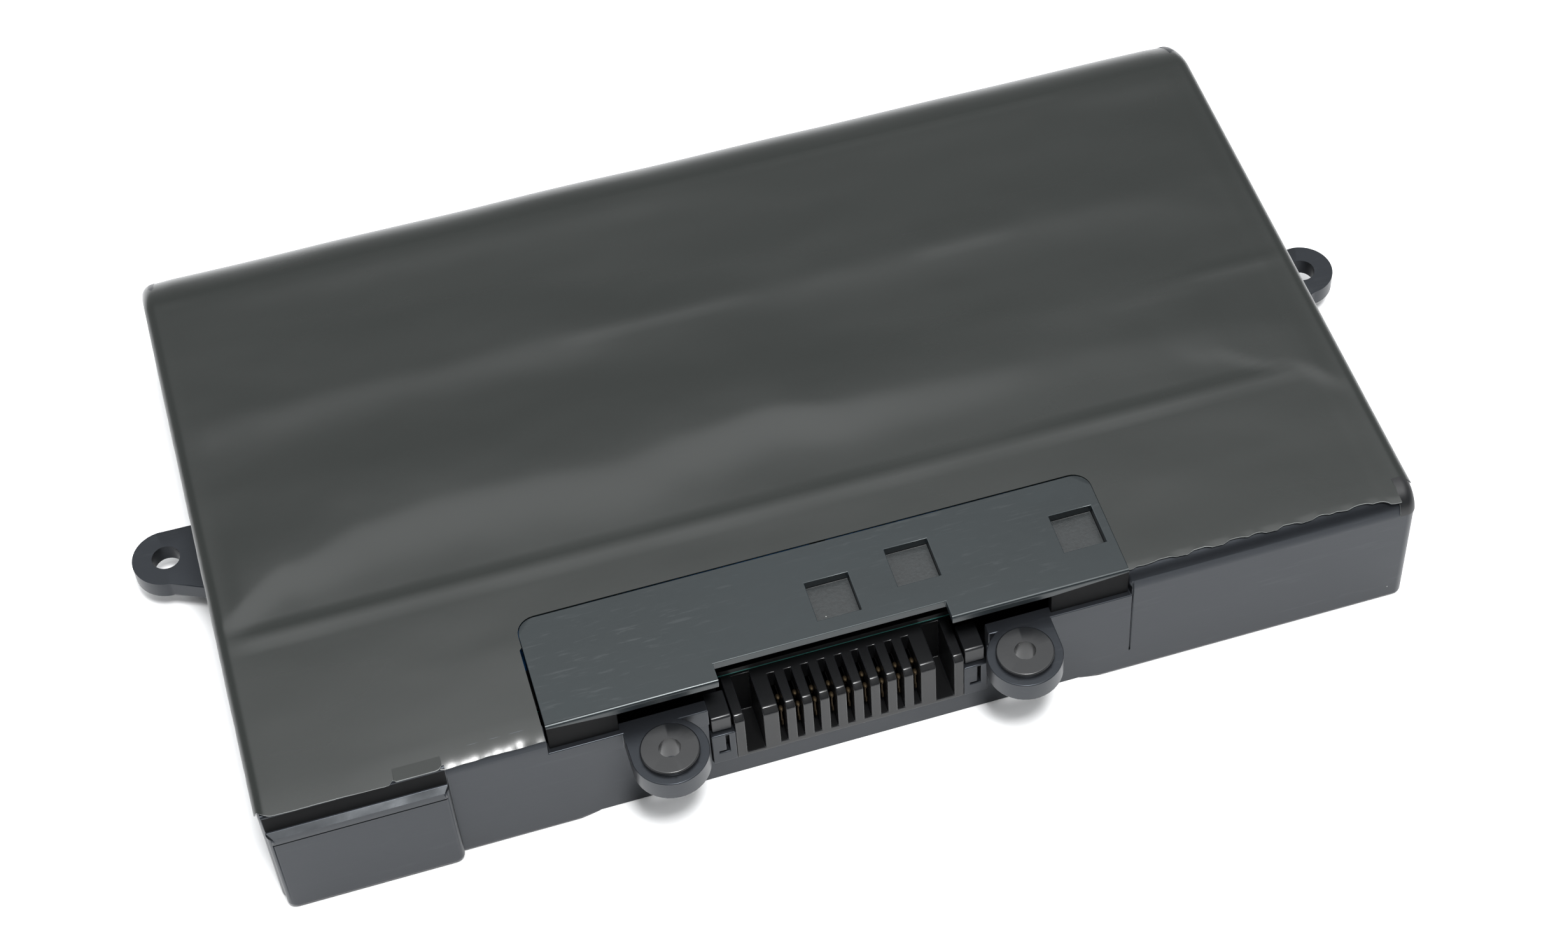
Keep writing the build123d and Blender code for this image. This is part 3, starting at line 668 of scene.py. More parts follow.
@dataclass
class Draft:
    """Points and faces of a mesh in the making."""

    verts: list[Vector] = field(default_factory=list)
    faces: list[tuple[int, ...]] = field(default_factory=list)

    def _face(self, corners: Iterable[int], flip: bool) -> None:
        """Add a face, turned over if flip is set."""
        ring = tuple(corners)
        self.faces.append(ring[:1] + ring[:0:-1] if flip else ring)

    def sheet(self, across: int, flip: bool = False) -> None:
        """Join all points, given row by row, into one open sheet.

        Args:
            across: points in a row.
            flip: whether the faces look the other way.
        """
        for row in range(len(self.verts) // across - 1):
            for column in range(across - 1):
                a = row * across + column
                self._face((a, a + 1, a + across + 1, a + across), flip)

    def loft(self, rings: Sequence[Sequence[Vector]], flip: bool = False) -> None:
        """Add a solid through rings of points, closed at both ends.

        Args:
            rings: the rings, each counter-clockwise seen from the last one's side.
            flip: whether the rings run the other way round.
        """
        start, around = len(self.verts), len(rings[0])
        for ring in rings:
            self.verts.extend(ring)
        for first in range(start, len(self.verts) - around, around):
            for k in range(around):
                a, b = first + k, first + (k + 1) % around
                self._face((a, b, b + around, a + around), flip)
        self._face(reversed(range(start, start + around)), flip)
        self._face(range(len(self.verts) - around, len(self.verts)), flip)

    def piece(self, name: str) -> bpy.types.Object:
        """Put the mesh into the scene under a name."""
        mesh = bpy.data.meshes.new(name)
        mesh.from_pydata(self.verts, [], self.faces)
        return new_piece(name, mesh)


def thicken(piece: bpy.types.Object, depth: float, offset: float) -> None:
    """Give a sheet its thickness, with its second finish on the cut edges.

    Args:
        piece: the sheet.
        depth: thickness in millimetres.
        offset: -1 to grow inwards, 0 to grow both ways.
    """
    thick = piece.modifiers.new("thickness", "SOLIDIFY")
    thick.thickness = depth * MM
    thick.offset = offset
    thick.material_offset_rim = 1


def settle(piece: bpy.types.Object) -> None:
    """Apply a piece's modifiers, so that its mesh is final."""
    bpy.context.view_layer.update()
    graph = bpy.context.evaluated_depsgraph_get()
    mesh = bpy.data.meshes.new_from_object(piece.evaluated_get(graph), depsgraph=graph)
    piece.modifiers.clear()
    piece.data = mesh


@dataclass
class BrokenEdges:
    """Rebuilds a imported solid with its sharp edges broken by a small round."""

    radius: float
    segments: int = 3
    sharp: float = 0.5
    thin: float = 2.4

    def _roomy(self, face: bmesh.types.BMFace) -> bool:
        """Whether a face is wide enough to give up an edge strip on both sides."""
        longest = max(edge.calc_length() for edge in face.edges)
        return face.calc_area() / longest > self.thin * self.radius * MM

    def rebuild(self, frame: dict, node: str, name: str) -> bpy.types.Object:
        """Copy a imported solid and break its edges.

        Args:
            node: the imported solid.
            name: the new piece's name.

        Returns:
            The new piece, which has no finish yet.
        """
        work = bmesh.new()
        work.from_mesh(frame["nodes"][node].data)
        mark = work.faces.layers.float.new("edge_mark")
        bmesh.ops.remove_doubles(work, verts=work.verts, dist=1e-7)
        bmesh.ops.dissolve_limit(work, angle_limit=0.01, verts=work.verts, edges=work.edges)
        chosen = [
            edge
            for edge in work.edges
            if len(edge.link_faces) == 2
            and edge.calc_face_angle(0.0) > self.sharp
            and all(self._roomy(face) for face in edge.link_faces)
        ]
        done = bmesh.ops.bevel(
            work, geom=chosen, offset=self.radius * MM, offset_type="OFFSET", segments=self.segments,
            profile=0.5, affect="EDGES", clamp_overlap=False,
        )
        for face in done["faces"]:
            face[mark] = 1.0
        bmesh.ops.triangulate(work, faces=[face for face in work.faces if len(face.verts) > 4])
        mesh = bpy.data.meshes.new(name)
        work.to_mesh(mesh)
        work.free()
        mesh.shade_smooth()
        piece = new_piece(name, mesh)
        weighted = piece.modifiers.new("even_shading", "WEIGHTED_NORMAL")
        weighted.weight = 80
        weighted.keep_sharp = True
        mesh.set_sharp_from_angle(angle=0.6)
        settle(piece)
        return piece


@dataclass(frozen=True)
class Swell:
    """One soft band of the film: a crest line with a steep front and a long back.

    Places and heights are in drawing millimetres.
    """

    crest: Table
    front: Table
    back: float
    strength: Table
    front_share: ClassVar[float] = 0.76
    strength_share: ClassVar[float] = 1.4

    def height(self, x: float, y: float) -> float:
        """How much the band lifts the film at a place."""
        away = y - along(self.crest, x)
        width = self.front_share * along(self.front, x) if away < 0 else self.back
        return self.strength_share * along(self.strength, x) * math.exp(-0.5 * (away / width) ** 2)


@dataclass
class FilmWrap:
    """Insulating film: over the cells, round the last row and down the back.

    Sizes are in drawing millimetres.  side_* shape the turned-down sides, fall_* the drooping
    front, curl_* the teeth of the right front edge and tuck_* the folded end in the recess.
    """

    datum: Datum
    paint: Paint
    thickness: float = 0.16
    side_r: float = 1.6
    side_turn: float = 1.25
    side_flat: float = 0.3
    fall: float = 0.7
    fall_from: float = 3.4
    fall_power: float = 2.6
    fall_past: float = 0.6
    sink: float = 0.22
    curl: float = 0.14
    curl_from: float = 0.9
    front_rows: float = 6.0
    hem_rows: float = 3.0
    block_wide: float = 21.5
    recess: tuple[float, float] = (15.0, 0.5)
    tuck_under: tuple[float, float] = (0.7, 0.5)
    tuck_front: float = -0.78
    tuck_r: float = 0.9
    gap: float = 0.25
    cover_r: float = 2.3
    cut_front: float = -6.0
    corner_cut: tuple[float, float] = (2.4, 3.0)
    swells: tuple[Swell, ...] = (
        Swell(((0, 27.0), (10, 33.0), (20, 36.5), (30, 37.5), (40, 37.0), (50, 36.0), (60, 37.5),
               (70, 38.5), (80, 36.5), (105, 35.5), (142, 33.0)),
              ((0, 1.2), (8, 2.6), (18, 4.2), (50, 5.4), (72, 4.2), (142, 4.2)),
              9.0,
              ((0, 0.3), (12, 0.34), (30, 0.42), (70, 0.46), (95, 0.24), (112, 0.08), (142, 0.04))),
        Swell(((0, 57.0), (142, 56.9)), ((0, 0.55), (142, 0.55)), 3.5,
              ((47, 0.0), (53, 0.045), (66, 0.05), (78, 0.0), (94, 0.0), (99, 0.04), (105, 0.035),
               (112, 0.0))),
        Swell(((0, 58.5), (142, 58.5)), ((0, 4.2), (142, 4.2)), 10.0,
              ((0, 0.1), (20, 0.18), (45, 0.2), (60, 0.08), (85, 0.16), (100, 0.14), (142, 0.08))),
        Swell(((118, 34.0), (126, 30.0), (134, 25.5), (142, 20.0)), ((0, 1.7), (142, 1.7)), 6.0,
              ((120, 0.0), (129, 0.08), (137, 0.12), (142, 0.1))),
        Swell(((0, 40.4), (142, 40.4)), ((0, 0.5), (142, 0.5)), 3.0,
              ((114, 0.0), (119, 0.018), (126, 0.018), (131, 0.0))),
        Swell(((0, 78.0), (142, 77.6)), ((0, 2.6), (142, 2.6)), 6.0,
              ((0, 0.03), (25, 0.1), (60, 0.1), (76, 0.03), (120, 0.03), (130, 0.08), (142, 0.06))),
    )

    def __post_init__(self) -> None:
        """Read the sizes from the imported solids."""
        low, high = self.datum.drawn_box("film_wrap")
        first_low, first_high = self.datum.drawn_box("cell_7")
        self.width = high.x - low.x
        self.top = high.z
        self.back = high.y
        self.hem = low.z
        self.roll_y = (first_low.y + first_high.y) / 2
        self.roll_r = self.back - self.roll_y
        self.cell_r = (first_high.y - first_low.y) / 2
        self.cell_z = (first_low.z + first_high.z) / 2
        next_low, next_high = self.datum.drawn_box("cell_5")
        self.pitch = self.roll_y - (next_low.y + next_high.y) / 2
        self.cover_low, self.cover_high = self.datum.drawn_box("connector_cover")
        self.block_right = self.datum.drawn_box("tray")[0].x + self.block_wide
        self.inner = self.side_r - self.side_flat
        self.right_part = self.cover_high.x - 5

    def relief(self, x: float, y: float) -> float:
        """Height of the film against its flat top, in millimetres, and never down in the cells."""
        lift = sum(swell.height(x, y) for swell in self.swells)
        loose = noise.noise(Vector((x / 17.0, y / 7.0, 3.1))) * 0.05
        loose += noise.noise(Vector((x / 6.0, y / 3.5, 9.7))) * 0.012
        left_front = (1 - smooth(x, 30.0, 48.0)) * (1 - smooth(y, -2.0, 14.0))
        settled = (0.15 + 0.3 * smooth(x, 8.0, 26.0)) * left_front + self.sink
        return max(self.lowest(y), lift + loose - settled)

    def lowest(self, y: float) -> float:
        """Height that keeps the film clear of the cells below it, in millimetres."""
        row = round((y - self.roll_y) / self.pitch)
        away = abs(y - self.roll_y - row * self.pitch)
        reach = self.cell_r ** 2 - away ** 2
        crest = self.cell_z + math.sqrt(reach) if reach > 0 and row > -4 and row <= 0 else 0.0
        return crest + self.thickness + 0.02 - self.top

    def tooth(self, x: float) -> float:
        """How far a tooth of the right front edge sticks out, from 0 to 1."""
        if x < self.right_part:
            return 0.0
        return smooth(noise.noise(Vector((x / 2.3, 7.0, 2.0))), -0.12, 0.14)

    def front_edge(self, x: float) -> float:
        """Y of the film's front edge, a hand cut with small steps."""
        fine = noise.noise(Vector((x / 0.9, 0.0, 1.3)))
        broad = noise.noise(Vector((x / 2.6, 4.0, 5.0)))
        if x > self.right_part:
            return 1.2 + 0.1 * broad + 0.07 * fine - 0.3 * self.tooth(x) - 0.9 * smooth(x, 135.5, 139.6)
        recess_left, recess_deep = self.recess
        recess = recess_deep * smooth(x, recess_left, recess_left + 0.3)
        recess *= 1 - smooth(x, self.block_right - 0.9, self.block_right - 0.2)
        sag = smooth(x, 17.0, 26.0)
        return -0.95 + 0.4 * sag + recess + (0.04 + 0.1 * sag) * broad + 0.03 * fine

    def profile(self, s: float, x: float) -> tuple[float, float, float, float]:
        """The film's section.

        Args:
            s: distance along the film, equal to Y on the flat top.
            x: place across the pack.

        Returns:
            Y and Z in millimetres, then the outward normal's Y and Z.
        """
        if s <= self.roll_y:
            z, slope = self.top, 0.0
            if s < self.fall_from:
                reach = self.fall_from + self.fall_past
                share = (self.fall_from - s) / reach
                uneven = noise.noise(Vector((x / 2.1, 5.0, 7.0)))
                left_part = 1 - smooth(x, 36.0, 60.0)
                droop = self.fall * smooth(x, 8.0, 26.0) * (0.07 + 0.93 * left_part) * (1 + 0.3 * uneven)
                droop += 0.1 * left_part
                z -= droop * share ** self.fall_power
                slope = self.fall_power * droop * share ** (self.fall_power - 1) / reach
            curl = max(0.0, 1 - (s - self.front_edge(x)) / self.curl_from) * self.tooth(x)
            z -= self.curl * curl ** 2
            length = math.hypot(1.0, slope)
            return s, z, -slope / length, 1 / length
        turn = (s - self.roll_y) / self.roll_r
        loose = 0.18 * noise.noise(Vector((x / 22.0, 1.0, 8.0)))
        radius = self.roll_r - self.sink + loose * smooth(turn, 0.0, 0.4)
        centre_z = self.top - self.roll_r
        if turn <= math.pi / 2:
            radius += self.sink * (1 - smooth(turn, 0.0, 0.5))
            y = self.roll_y + radius * math.sin(turn)
            return y, centre_z + radius * math.cos(turn), math.sin(turn), math.cos(turn)
        down = (turn - math.pi / 2) * self.roll_r
        return self.roll_y + radius, centre_z - down, 1.0, 0.0

    def place(self, w: float, s: float) -> Vector:
        """A point of the film's outer face.

        Args:
            w: distance across the film, equal to X away from the sides.
            s: distance along the film.

        Returns:
            The point in metres.
        """
        x = w
        edge = min(w, self.width - w)
        drop = 0.1 * (1 - smooth(edge, self.inner, 4.5))
        if edge < self.inner:
            turn = (self.inner - edge) / self.side_r
            edge_x = self.inner - self.side_r * math.sin(turn)
            drop += self.side_r * (1 - math.cos(turn))
            x = edge_x if w < self.width / 2 else self.width - edge_x
        y, z, normal_y, normal_z = self.profile(s, x)
        fade = 1 - smooth(s, self.roll_y, self.roll_y + 5.0)
        lift = self.relief(x, s) * (0.15 + 0.85 * smooth(edge, 0.0, 5.0)) * fade - drop
        return self.datum.at(x, y + normal_y * lift, z + normal_z * lift)

    def side_limit(self, s: float, right: bool) -> float:
        """How far past the flat the film's side edge turns down, in millimetres."""
        seed = 21.0 if right else 11.0
        wave = 0.22 * noise.noise(Vector((s / 5.0, seed, 0.0)))
        wave += 0.1 * noise.noise(Vector((s / 1.3, seed, 4.0)))
        return self.side_r * self.side_turn - self.inner + wave

    def shifted(self, s: float, x: float, end: float) -> float:
        """Move a row's point so that the front edge and the hem run as they were cut.

        Args:
            s: the row's distance along the film.
            x: place across the pack.
            end: distance of the hem along the film.

        Returns:
            The point's distance along the film.
        """
        moved = s
        if s < self.front_rows:
            start = self.front_edge(x)
            if x < self.side_r:
                start += 1.1 * (1 - x / self.side_r) ** 1.6
            moved += start * (1 - s / self.front_rows)
        if s > end - self.hem_rows:
            wave = 0.25 * noise.noise(Vector((x / 9.0, 2.0, 6.0)))
            moved += wave * (s - end + self.hem_rows) / self.hem_rows
        return moved

    def build(self) -> bpy.types.Object:
        """Make the film, cut it round the cover and the corner, and dress it."""
        arc = self.roll_r * math.pi / 2
        end = self.roll_y + arc + (self.top - self.roll_r - self.hem)
        rows = steps(0.0, self.front_rows, 0.24)[:-1] + steps(self.front_rows, self.roll_y, 0.8)[:-1]
        rows += steps(self.roll_y, self.roll_y + arc, 0.5)[:-1] + steps(self.roll_y + arc, end, 0.8)
        columns = steps(self.inner, 4.0, 0.3)[:-1] + steps(4.0, self.width - 4.0, 0.46)
        columns += steps(self.width - 4.0, self.width - self.inner, 0.3)[1:]
        turns = steps(0.0, 1.0, 0.12)[1:]
        draft = Draft()
        for s in rows:
            left, right = self.side_limit(s, False), self.side_limit(s, True)
            line = [-t * left + (1 - t) * self.inner for t in reversed(turns)] + columns
            line += [self.width + t * right - (1 - t) * self.inner for t in turns]
            for w in line:
                x = min(max(w, 0.0), self.width)
                draft.verts.append(self.place(w, self.shifted(s, x, end)))
        draft.sheet(len(columns) + 2 * len(turns))
        film = draft.piece("film_wrap_sheet")
        film.data.shade_smooth()
        # Second finish: the painted highlight on the film's cut edges.
        self.paint.dress(film, "insulating_film", "film_cut_painted_highlight")
        thicken(film, self.thickness, -1.0)
        cutters = [self._cover_cutter(), self._corner_cutter()]
        for cutter in cutters:
            cut = film.modifiers.new(cutter.name, "BOOLEAN")
            cut.operation = "DIFFERENCE"
            cut.solver = "EXACT"
            cut.object = cutter
        settle(film)
        for cutter in cutters:
            bpy.data.objects.remove(cutter)
        film.data.set_sharp_from_angle(angle=0.9)
        self._tuck()
        return finish_piece(film, "film", "film_wrap")

    def _tuck(self) -> None:
        """Folded end of the film that shows where the front edge steps back."""
        left, right = self.recess[0] + 0.75, self.block_right - 0.2
        front, radius = self.tuck_front, self.tuck_r
        outline = [(left, 1.0), (left, front + 0.18), (left + 0.2, front), (right - radius, front)]
        outline += quarter((right - radius, front + radius), radius, -1, 5)
        outline += [(right, front + radius), (right, 1.0)]
        low, high = (self.top - under for under in self.tuck_under)
        tuck = self._prism("film_tuck", outline, low, high)
        self.paint.dress(tuck, "insulating_film", "film_cut_painted_highlight")
        # Upright sides take the painted highlight of the cut edge.
        for face in tuck.data.polygons:
            face.material_index = 1 if abs(face.normal.z) < 0.5 else 0
        finish_piece(tuck, "film")

    def _prism(self, name: str, outline: Sequence[tuple[float, float]], low: float = 4.0,
               high: float = 24.0) -> bpy.types.Object:
        """Make an upright prism over an outline.

        Args:
            name: the new piece's name.
            outline: corners in drawing millimetres.
            low: height of its foot.
            high: height of its top.

        Returns:
            The prism, which has no finish yet.
        """
        draft = Draft()
        draft.loft([[self.datum.at(x, y, z) for x, y in outline] for z in (low, high)])
        return draft.piece(name)

    def _cover_cutter(self) -> bpy.types.Object:
        """Cut-out round the cover: a clear gap at the back and the left front, close elsewhere."""
        left, right = self.cover_low.x - 0.06, self.cover_high.x + 0.05
        back = self.cover_high.y + self.gap
        front, radius = self.cut_front, self.cover_r
        outline = [(right, front), (right, back - radius)]
        outline += quarter((right - radius, back - radius), radius, 0, 6)
        outline += [(right - radius, back), (left + radius, back)]
        outline += quarter((left + radius, back - radius), radius, 1, 6)
        outline += [(left, back - radius), (left, 12.5), (left - 0.3, 12.2), (left - 0.3, front)]
        return self._prism("cover_cutter", outline)

    def _corner_cutter(self) -> bpy.types.Object:
        """Cut-out at the right front corner."""
        wide, deep = self.corner_cut
        left, right = self.width - wide, self.width + 4
        outline = [(left + 0.25, self.cut_front), (right, self.cut_front), (right, deep + 0.1),
                   (left + 0.7, deep), (left + 0.2, deep - 0.5), (left, 1.4)]
        return self._prism("corner_cutter", outline)


@dataclass
class TrayShell:
    """Moulded tray with its corner block, front ears and the two side ears."""

    frame: dict
    datum: Datum
    paint: Paint
    step: tuple[float, float] = (15.75, 18.45)
    block_right: float = 21.6
    ledge: float = 15.2

    def build(self) -> None:
        """Rebuild the tray and its side ears with broken edges."""
        tray = BrokenEdges(0.14).rebuild(self.frame, "tray", "tray_shell")
        self.paint.dress(tray, "tray_plastic", "painted_shade_plastic", "polished_ledge")
        # The corner block's forward-facing step wall gets the near-black painted shade; the block's sloped
        # ledge gets the glossy ledge finish.
        low = self.datum.at(0.5, -1.0, self.step[0])
        high = self.datum.at(self.block_right, -0.2, self.step[1])
        for face in tray.data.polygons:
            middle, facing = face.center, face.normal
            inside = all(low[k] <= middle[k] <= high[k] for k in range(3))
            face.material_index = 1 if inside and facing.y < -0.9 else 0
            at_block = middle.x < high.x and middle.y < high.y and self.ledge * MM < middle.z < high.z
            if at_block and 0.8 < facing.z < 0.98:
                face.material_index = 2
        finish_piece(tray, "tray_plastic", "tray")
        for side in ("left", "right"):
            ear = BrokenEdges(0.22).rebuild(self.frame, f"side_ear_{side}", f"side_screw_ear_{side}")
            self.paint.dress(ear, "tray_plastic")
            finish_piece(ear, "tray_plastic", f"side_ear_{side}")


@dataclass
class CornerTab:
    """Narrow tape over the right front corner, from the top down the front."""

    datum: Datum
    paint: Paint
    wide: float = 2.25
    start_y: float = 3.6
    foot_z: float = 16.9
    edge_r: float = 3.2
    side_r: float = 1.3
    side_gap: float = 0.05
    over: float = 0.1
    thickness: float = 0.2

    def build(self) -> None:
        """Make the tape as a thin sheet that follows the tray's rounded edges."""
        right = self.datum.drawn_box("film_wrap")[1].x
        rim = self.datum.drawn_box("tray")[1].z
        centre_z = rim - self.edge_r
        radius = self.edge_r + self.over
        arc = radius * math.pi / 2
        flat = self.start_y - self.edge_r
        line = steps(0.0, flat + arc + centre_z - self.foot_z, 0.22)
        across = steps(0.0, self.wide, 0.18)
        draft = Draft()
        for s in line:
            for w in across:
                past = max(0.0, w - (self.wide - self.side_r))
                drop = self.side_r - math.sqrt(max(self.side_r ** 2 - past ** 2, 0.0))
                if s < flat:
                    y, z, lean = self.start_y - s, rim + self.over, 1.0
                elif s < flat + arc:
                    turn = (s - flat) / radius
                    lean = math.cos(turn)
                    y, z = self.edge_r - radius * math.sin(turn), centre_z + radius * lean
                else:
                    y, z, lean = -self.over, centre_z - (s - flat - arc), 0.0
                x = right - self.wide + w - self.side_gap
                draft.verts.append(self.datum.at(x, y + drop * math.sqrt(1 - lean * lean), z - drop * lean))
        draft.sheet(len(across), flip=True)
        tab = draft.piece("corner_tab")
        tab.data.shade_smooth()
        # The tape's rims take the painted highlight of the cut edge.
        self.paint.dress(tab, "clip_plastic", "film_cut_painted_highlight")
        thicken(tab, self.thickness, 0.0)
        settle(tab)
        tab.data.set_sharp_from_angle(angle=0.9)
        finish_piece(tab, "film")


@dataclass
class ConnectorCover:
    """Cover plate with three rough-floored pockets."""

    frame: dict
    datum: Datum
    paint: Paint

    def build(self) -> None:
        """Rebuild the cover, mark its pocket floors and give its deeper faces painted shade."""
        cover = BrokenEdges(0.1).rebuild(self.frame, "connector_cover", "cover_plate")
        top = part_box("connector_cover")[1].z
        self.paint.dress(cover, "cover_plastic", "pocket_floor", "painted_shade_plastic")
        for face in cover.data.polygons:
            depth = (top - face.center.z) / MM
            if face.normal.z > 0.9 and 1.0 < depth < 1.4:
                face.material_index = 1
            # Every other face more than 1 mm below the top gets painted shade.
            elif depth > 1.0:
                face.material_index = 2
        finish_piece(cover, "cover_plastic", "connector_cover")


@dataclass
class BladeConnector:
    """Connector housing, its gold contacts, the two clips and the two ear bushes.

    Each of tips is a leaf's side, then its tip's Y, Z and sideways shift from the contact's
    lowest corner and the slot's middle.  Each of tip_shape is a ring's drop and half width.
    """

    frame: dict
    datum: Datum
    paint: Paint
    contacts: int = 9
    leaf_high: float = 2.6
    leaf_rise: float = 1.2
    leaf_thick: float = 0.16
    post_half: float = 0.1
    post_under: float = 0.55
    tips: tuple[tuple[int, float, float, float], ...] = ((-1, 1.3, 5.5, 0.14), (1, -0.2, 5.25, 0.1))
    tip_sides: int = 10
    tip_stretch: float = 1.5
    tip_shape: Table = ((0.62, 0.1), (0.52, 0.22), (0.32, 0.29), (0.14, 0.27), (0.06, 0.17), (0.03, 0.06))

    def build(self) -> None:
        """Rebuild the housing and everything beside it."""
        housing = BrokenEdges(0.16).rebuild(self.frame, "connector_housing", "housing_block")
        self.paint.dress(housing, "connector_plastic", "slot_painted_shade")
        low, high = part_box("connector_housing")
        for face in housing.data.polygons:
            place, facing = face.center, face.normal
            # Slot floors and the forward-facing back walls of the slots get painted shade.
            deep = facing.z > 0.9 and place.z < high.z - 1.0 * MM
            behind = facing.y < -0.9 and place.y > low.y + 1.0 * MM
            if deep or behind:
                face.material_index = 1
        finish_piece(housing, "connector_plastic", "connector_housing")
        for side in ("left", "right"):
            clip = BrokenEdges(0.14).rebuild(self.frame, f"connector_clip_{side}", f"side_clip_{side}")
            self.paint.dress(clip, "clip_plastic")
            finish_piece(clip, "clip_plastic", f"connector_clip_{side}")
            bush = BrokenEdges(0.12).rebuild(self.frame, f"ear_bush_{side}", f"flanged_bush_{side}")
            self.paint.dress(bush, "bush_plastic")
            finish_piece(bush, "bush_plastic", f"ear_bush_{side}")
        for number in range(1, self.contacts + 1):
            self._contact(number)

    def _contact(self, number: int) -> None:
        """Make one fork contact: two leaves in near-black painted shade, whose gold tips stand up one behind
        the other.
        """
        low, high = self.datum.drawn_box(f"contact_{number}")
        mid = (low.x + high.x) / 2
        draft = Draft()
        leaf_top = low.z + self.leaf_high
        tips = [(side, low.y + y, low.z + z, mid + shift) for side, y, z, shift in self.tips]
        half = self.post_half
        for _, tip_y, tip_z, tip_x in tips:
            self._bar(draft, (tip_x - half, tip_y - half, leaf_top - half),
                      (tip_x + half, tip_y + half, tip_z - self.post_under))
        for side, tip_y, _, _ in tips:
            path = (
                (high.y - 0.12, 0.27), (high.y - 1.6, 0.26), (tip_y + 1.9, 0.22), (tip_y + 0.9, 0.12),
                (tip_y + 0.45, 0.06), (tip_y + 0.15, 0.08), (tip_y - 0.05, 0.14),
            )
            self._leaf(draft, mid, side, path, low.z + 0.3, leaf_top)
        self._bar(draft, (mid - 0.4, high.y - 0.22, low.z + 0.2), (mid + 0.4, high.y - 0.02, leaf_top + 1.4))
        self._bar(draft, (mid - 0.22, high.y - 0.21, leaf_top + 1.0), (mid + 0.22, high.y - 0.03, high.z))
        # Faces so far are the leaves and bars, in near-black painted shade; the tips after them are gold.
        painted_shade_faces = len(draft.faces)
        for _, tip_y, tip_z, tip_x in tips:
            self._tip(draft, tip_x, tip_y, tip_z)
        contact = draft.piece(f"fork_contact_{number}")
        for face in contact.data.polygons:
            face.material_index = 0 if face.index < painted_shade_faces else 1
        soft = contact.modifiers.new("soft_edges", "BEVEL")
        soft.width = 0.04 * MM
        soft.segments = 2
        settle(contact)
        contact.data.shade_smooth()
        contact.data.set_sharp_from_angle(angle=0.9)
        self.paint.dress(contact, "contact_alloy_painted_shade", "contact_gold")
        finish_piece(contact, "contact_gold", f"contact_{number}")

    def _tip(self, draft: Draft, x: float, y: float, top: float) -> None:
        """Add a gold tip: a slim upright with a rounded head.

        Args:
            draft: the contact's mesh so far.
            x: its place across the pack.
            y: its place along the slot.
            top: height of its head.
        """
        turns = [2 * math.pi * k / self.tip_sides for k in range(self.tip_sides)]
        rings = []
        for down, wide in self.tip_shape:
            deep = self.tip_stretch * wide
            ring = [(x + wide * math.cos(t), y + deep * math.sin(t)) for t in turns]
            rings.append([self.datum.at(*corner, top - down) for corner in ring])
        draft.loft(rings)

    def _leaf(self, draft: Draft, mid: float, side: int, path: Sequence[tuple[float, float]], foot: float,
              top: float) -> None:
        """Add one leaf as a bent strip whose lower edge rises towards its end.

        Args:
            draft: the contact's mesh so far.
            mid: the slot's middle.
            side: -1 for the left leaf and 1 for the right.
            path: (Y, distance from the middle) from root to tip.
            foot: lower edge at the root.
            top: upper edge.
        """
        rings = []
        for index, (y, out) in enumerate(path):
            low = foot + self.leaf_rise * index / (len(path) - 1)
            section = ((0.0, low), (self.leaf_thick, low), (self.leaf_thick, top), (0.0, top))
            rings.append([self.datum.at(mid + side * (out + extra), y, z) for extra, z in section])
        draft.loft(rings, flip=side > 0)

    def _bar(self, draft: Draft, low: Place, high: Place) -> None:
        """Add a small bar between its lowest and highest corners."""
        corners = ((low[0], low[1]), (high[0], low[1]), (high[0], high[1]), (low[0], high[1]))
        draft.loft([[self.datum.at(x, y, z) for x, y in corners] for z in (low[2], high[2])])


@dataclass
class InnerPack:
    """Cells, strips, sheets and the board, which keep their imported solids."""

    frame: dict
    paint: Paint
    finishes: dict[str, str] = field(default_factory=lambda: {
        "cell_cap_": "cell_metal", "cell_": "cell_sleeve",
        "link_": "nickel_strip", "lead_": "nickel_strip",
        "end_insulator_": "insulating_paper", "centre_insulator": "insulating_paper",
        "foam_pad_": "black_foam", "thermistor": "chip_body", "thermal_fuse": "part_metal",
        "gauge_chip": "chip_body", "protector_chip": "chip_body", "mosfet_": "chip_body",
        "current_shunt": "part_metal", "chemical_fuse": "chip_body", "capacitors": "capacitor_ceramic",
    })
    laminate: float = 0.26

    def build(self) -> None:
        """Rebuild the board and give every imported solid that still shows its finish."""
        self._board()
        for name, node in self.frame["nodes"].items():
            for start, finish in self.finishes.items():
                if name.startswith(start):
                    self.paint.dress(node, finish)
                    LOG.info("%s: %s", name, finish)
                    break

    def _board(self) -> None:
        """Board whose faces are near-black painted shade, with green laminate along the foot of its rim."""
        board = BrokenEdges(0.06, segments=1).rebuild(self.frame, "circuit_board", "masked_board")
        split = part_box("circuit_board")[0].z + self.laminate * MM
        work = bmesh.new()
        work.from_mesh(board.data)
        bmesh.ops.bisect_plane(
            work, geom=[*work.verts, *work.edges, *work.faces], plane_co=(0, 0, split), plane_no=(0, 0, 1)
        )
        work.to_mesh(board.data)
        work.free()
        # Faces off the laminate strip take the near-black painted shade.
        self.paint.dress(board, "board_painted_shade", "board_green")
        for face in board.data.polygons:
            rim = abs(face.normal.z) < 0.3 and face.center.z < split
            face.material_index = 1 if rim else 0
        finish_piece(board, "board_green", "circuit_board")


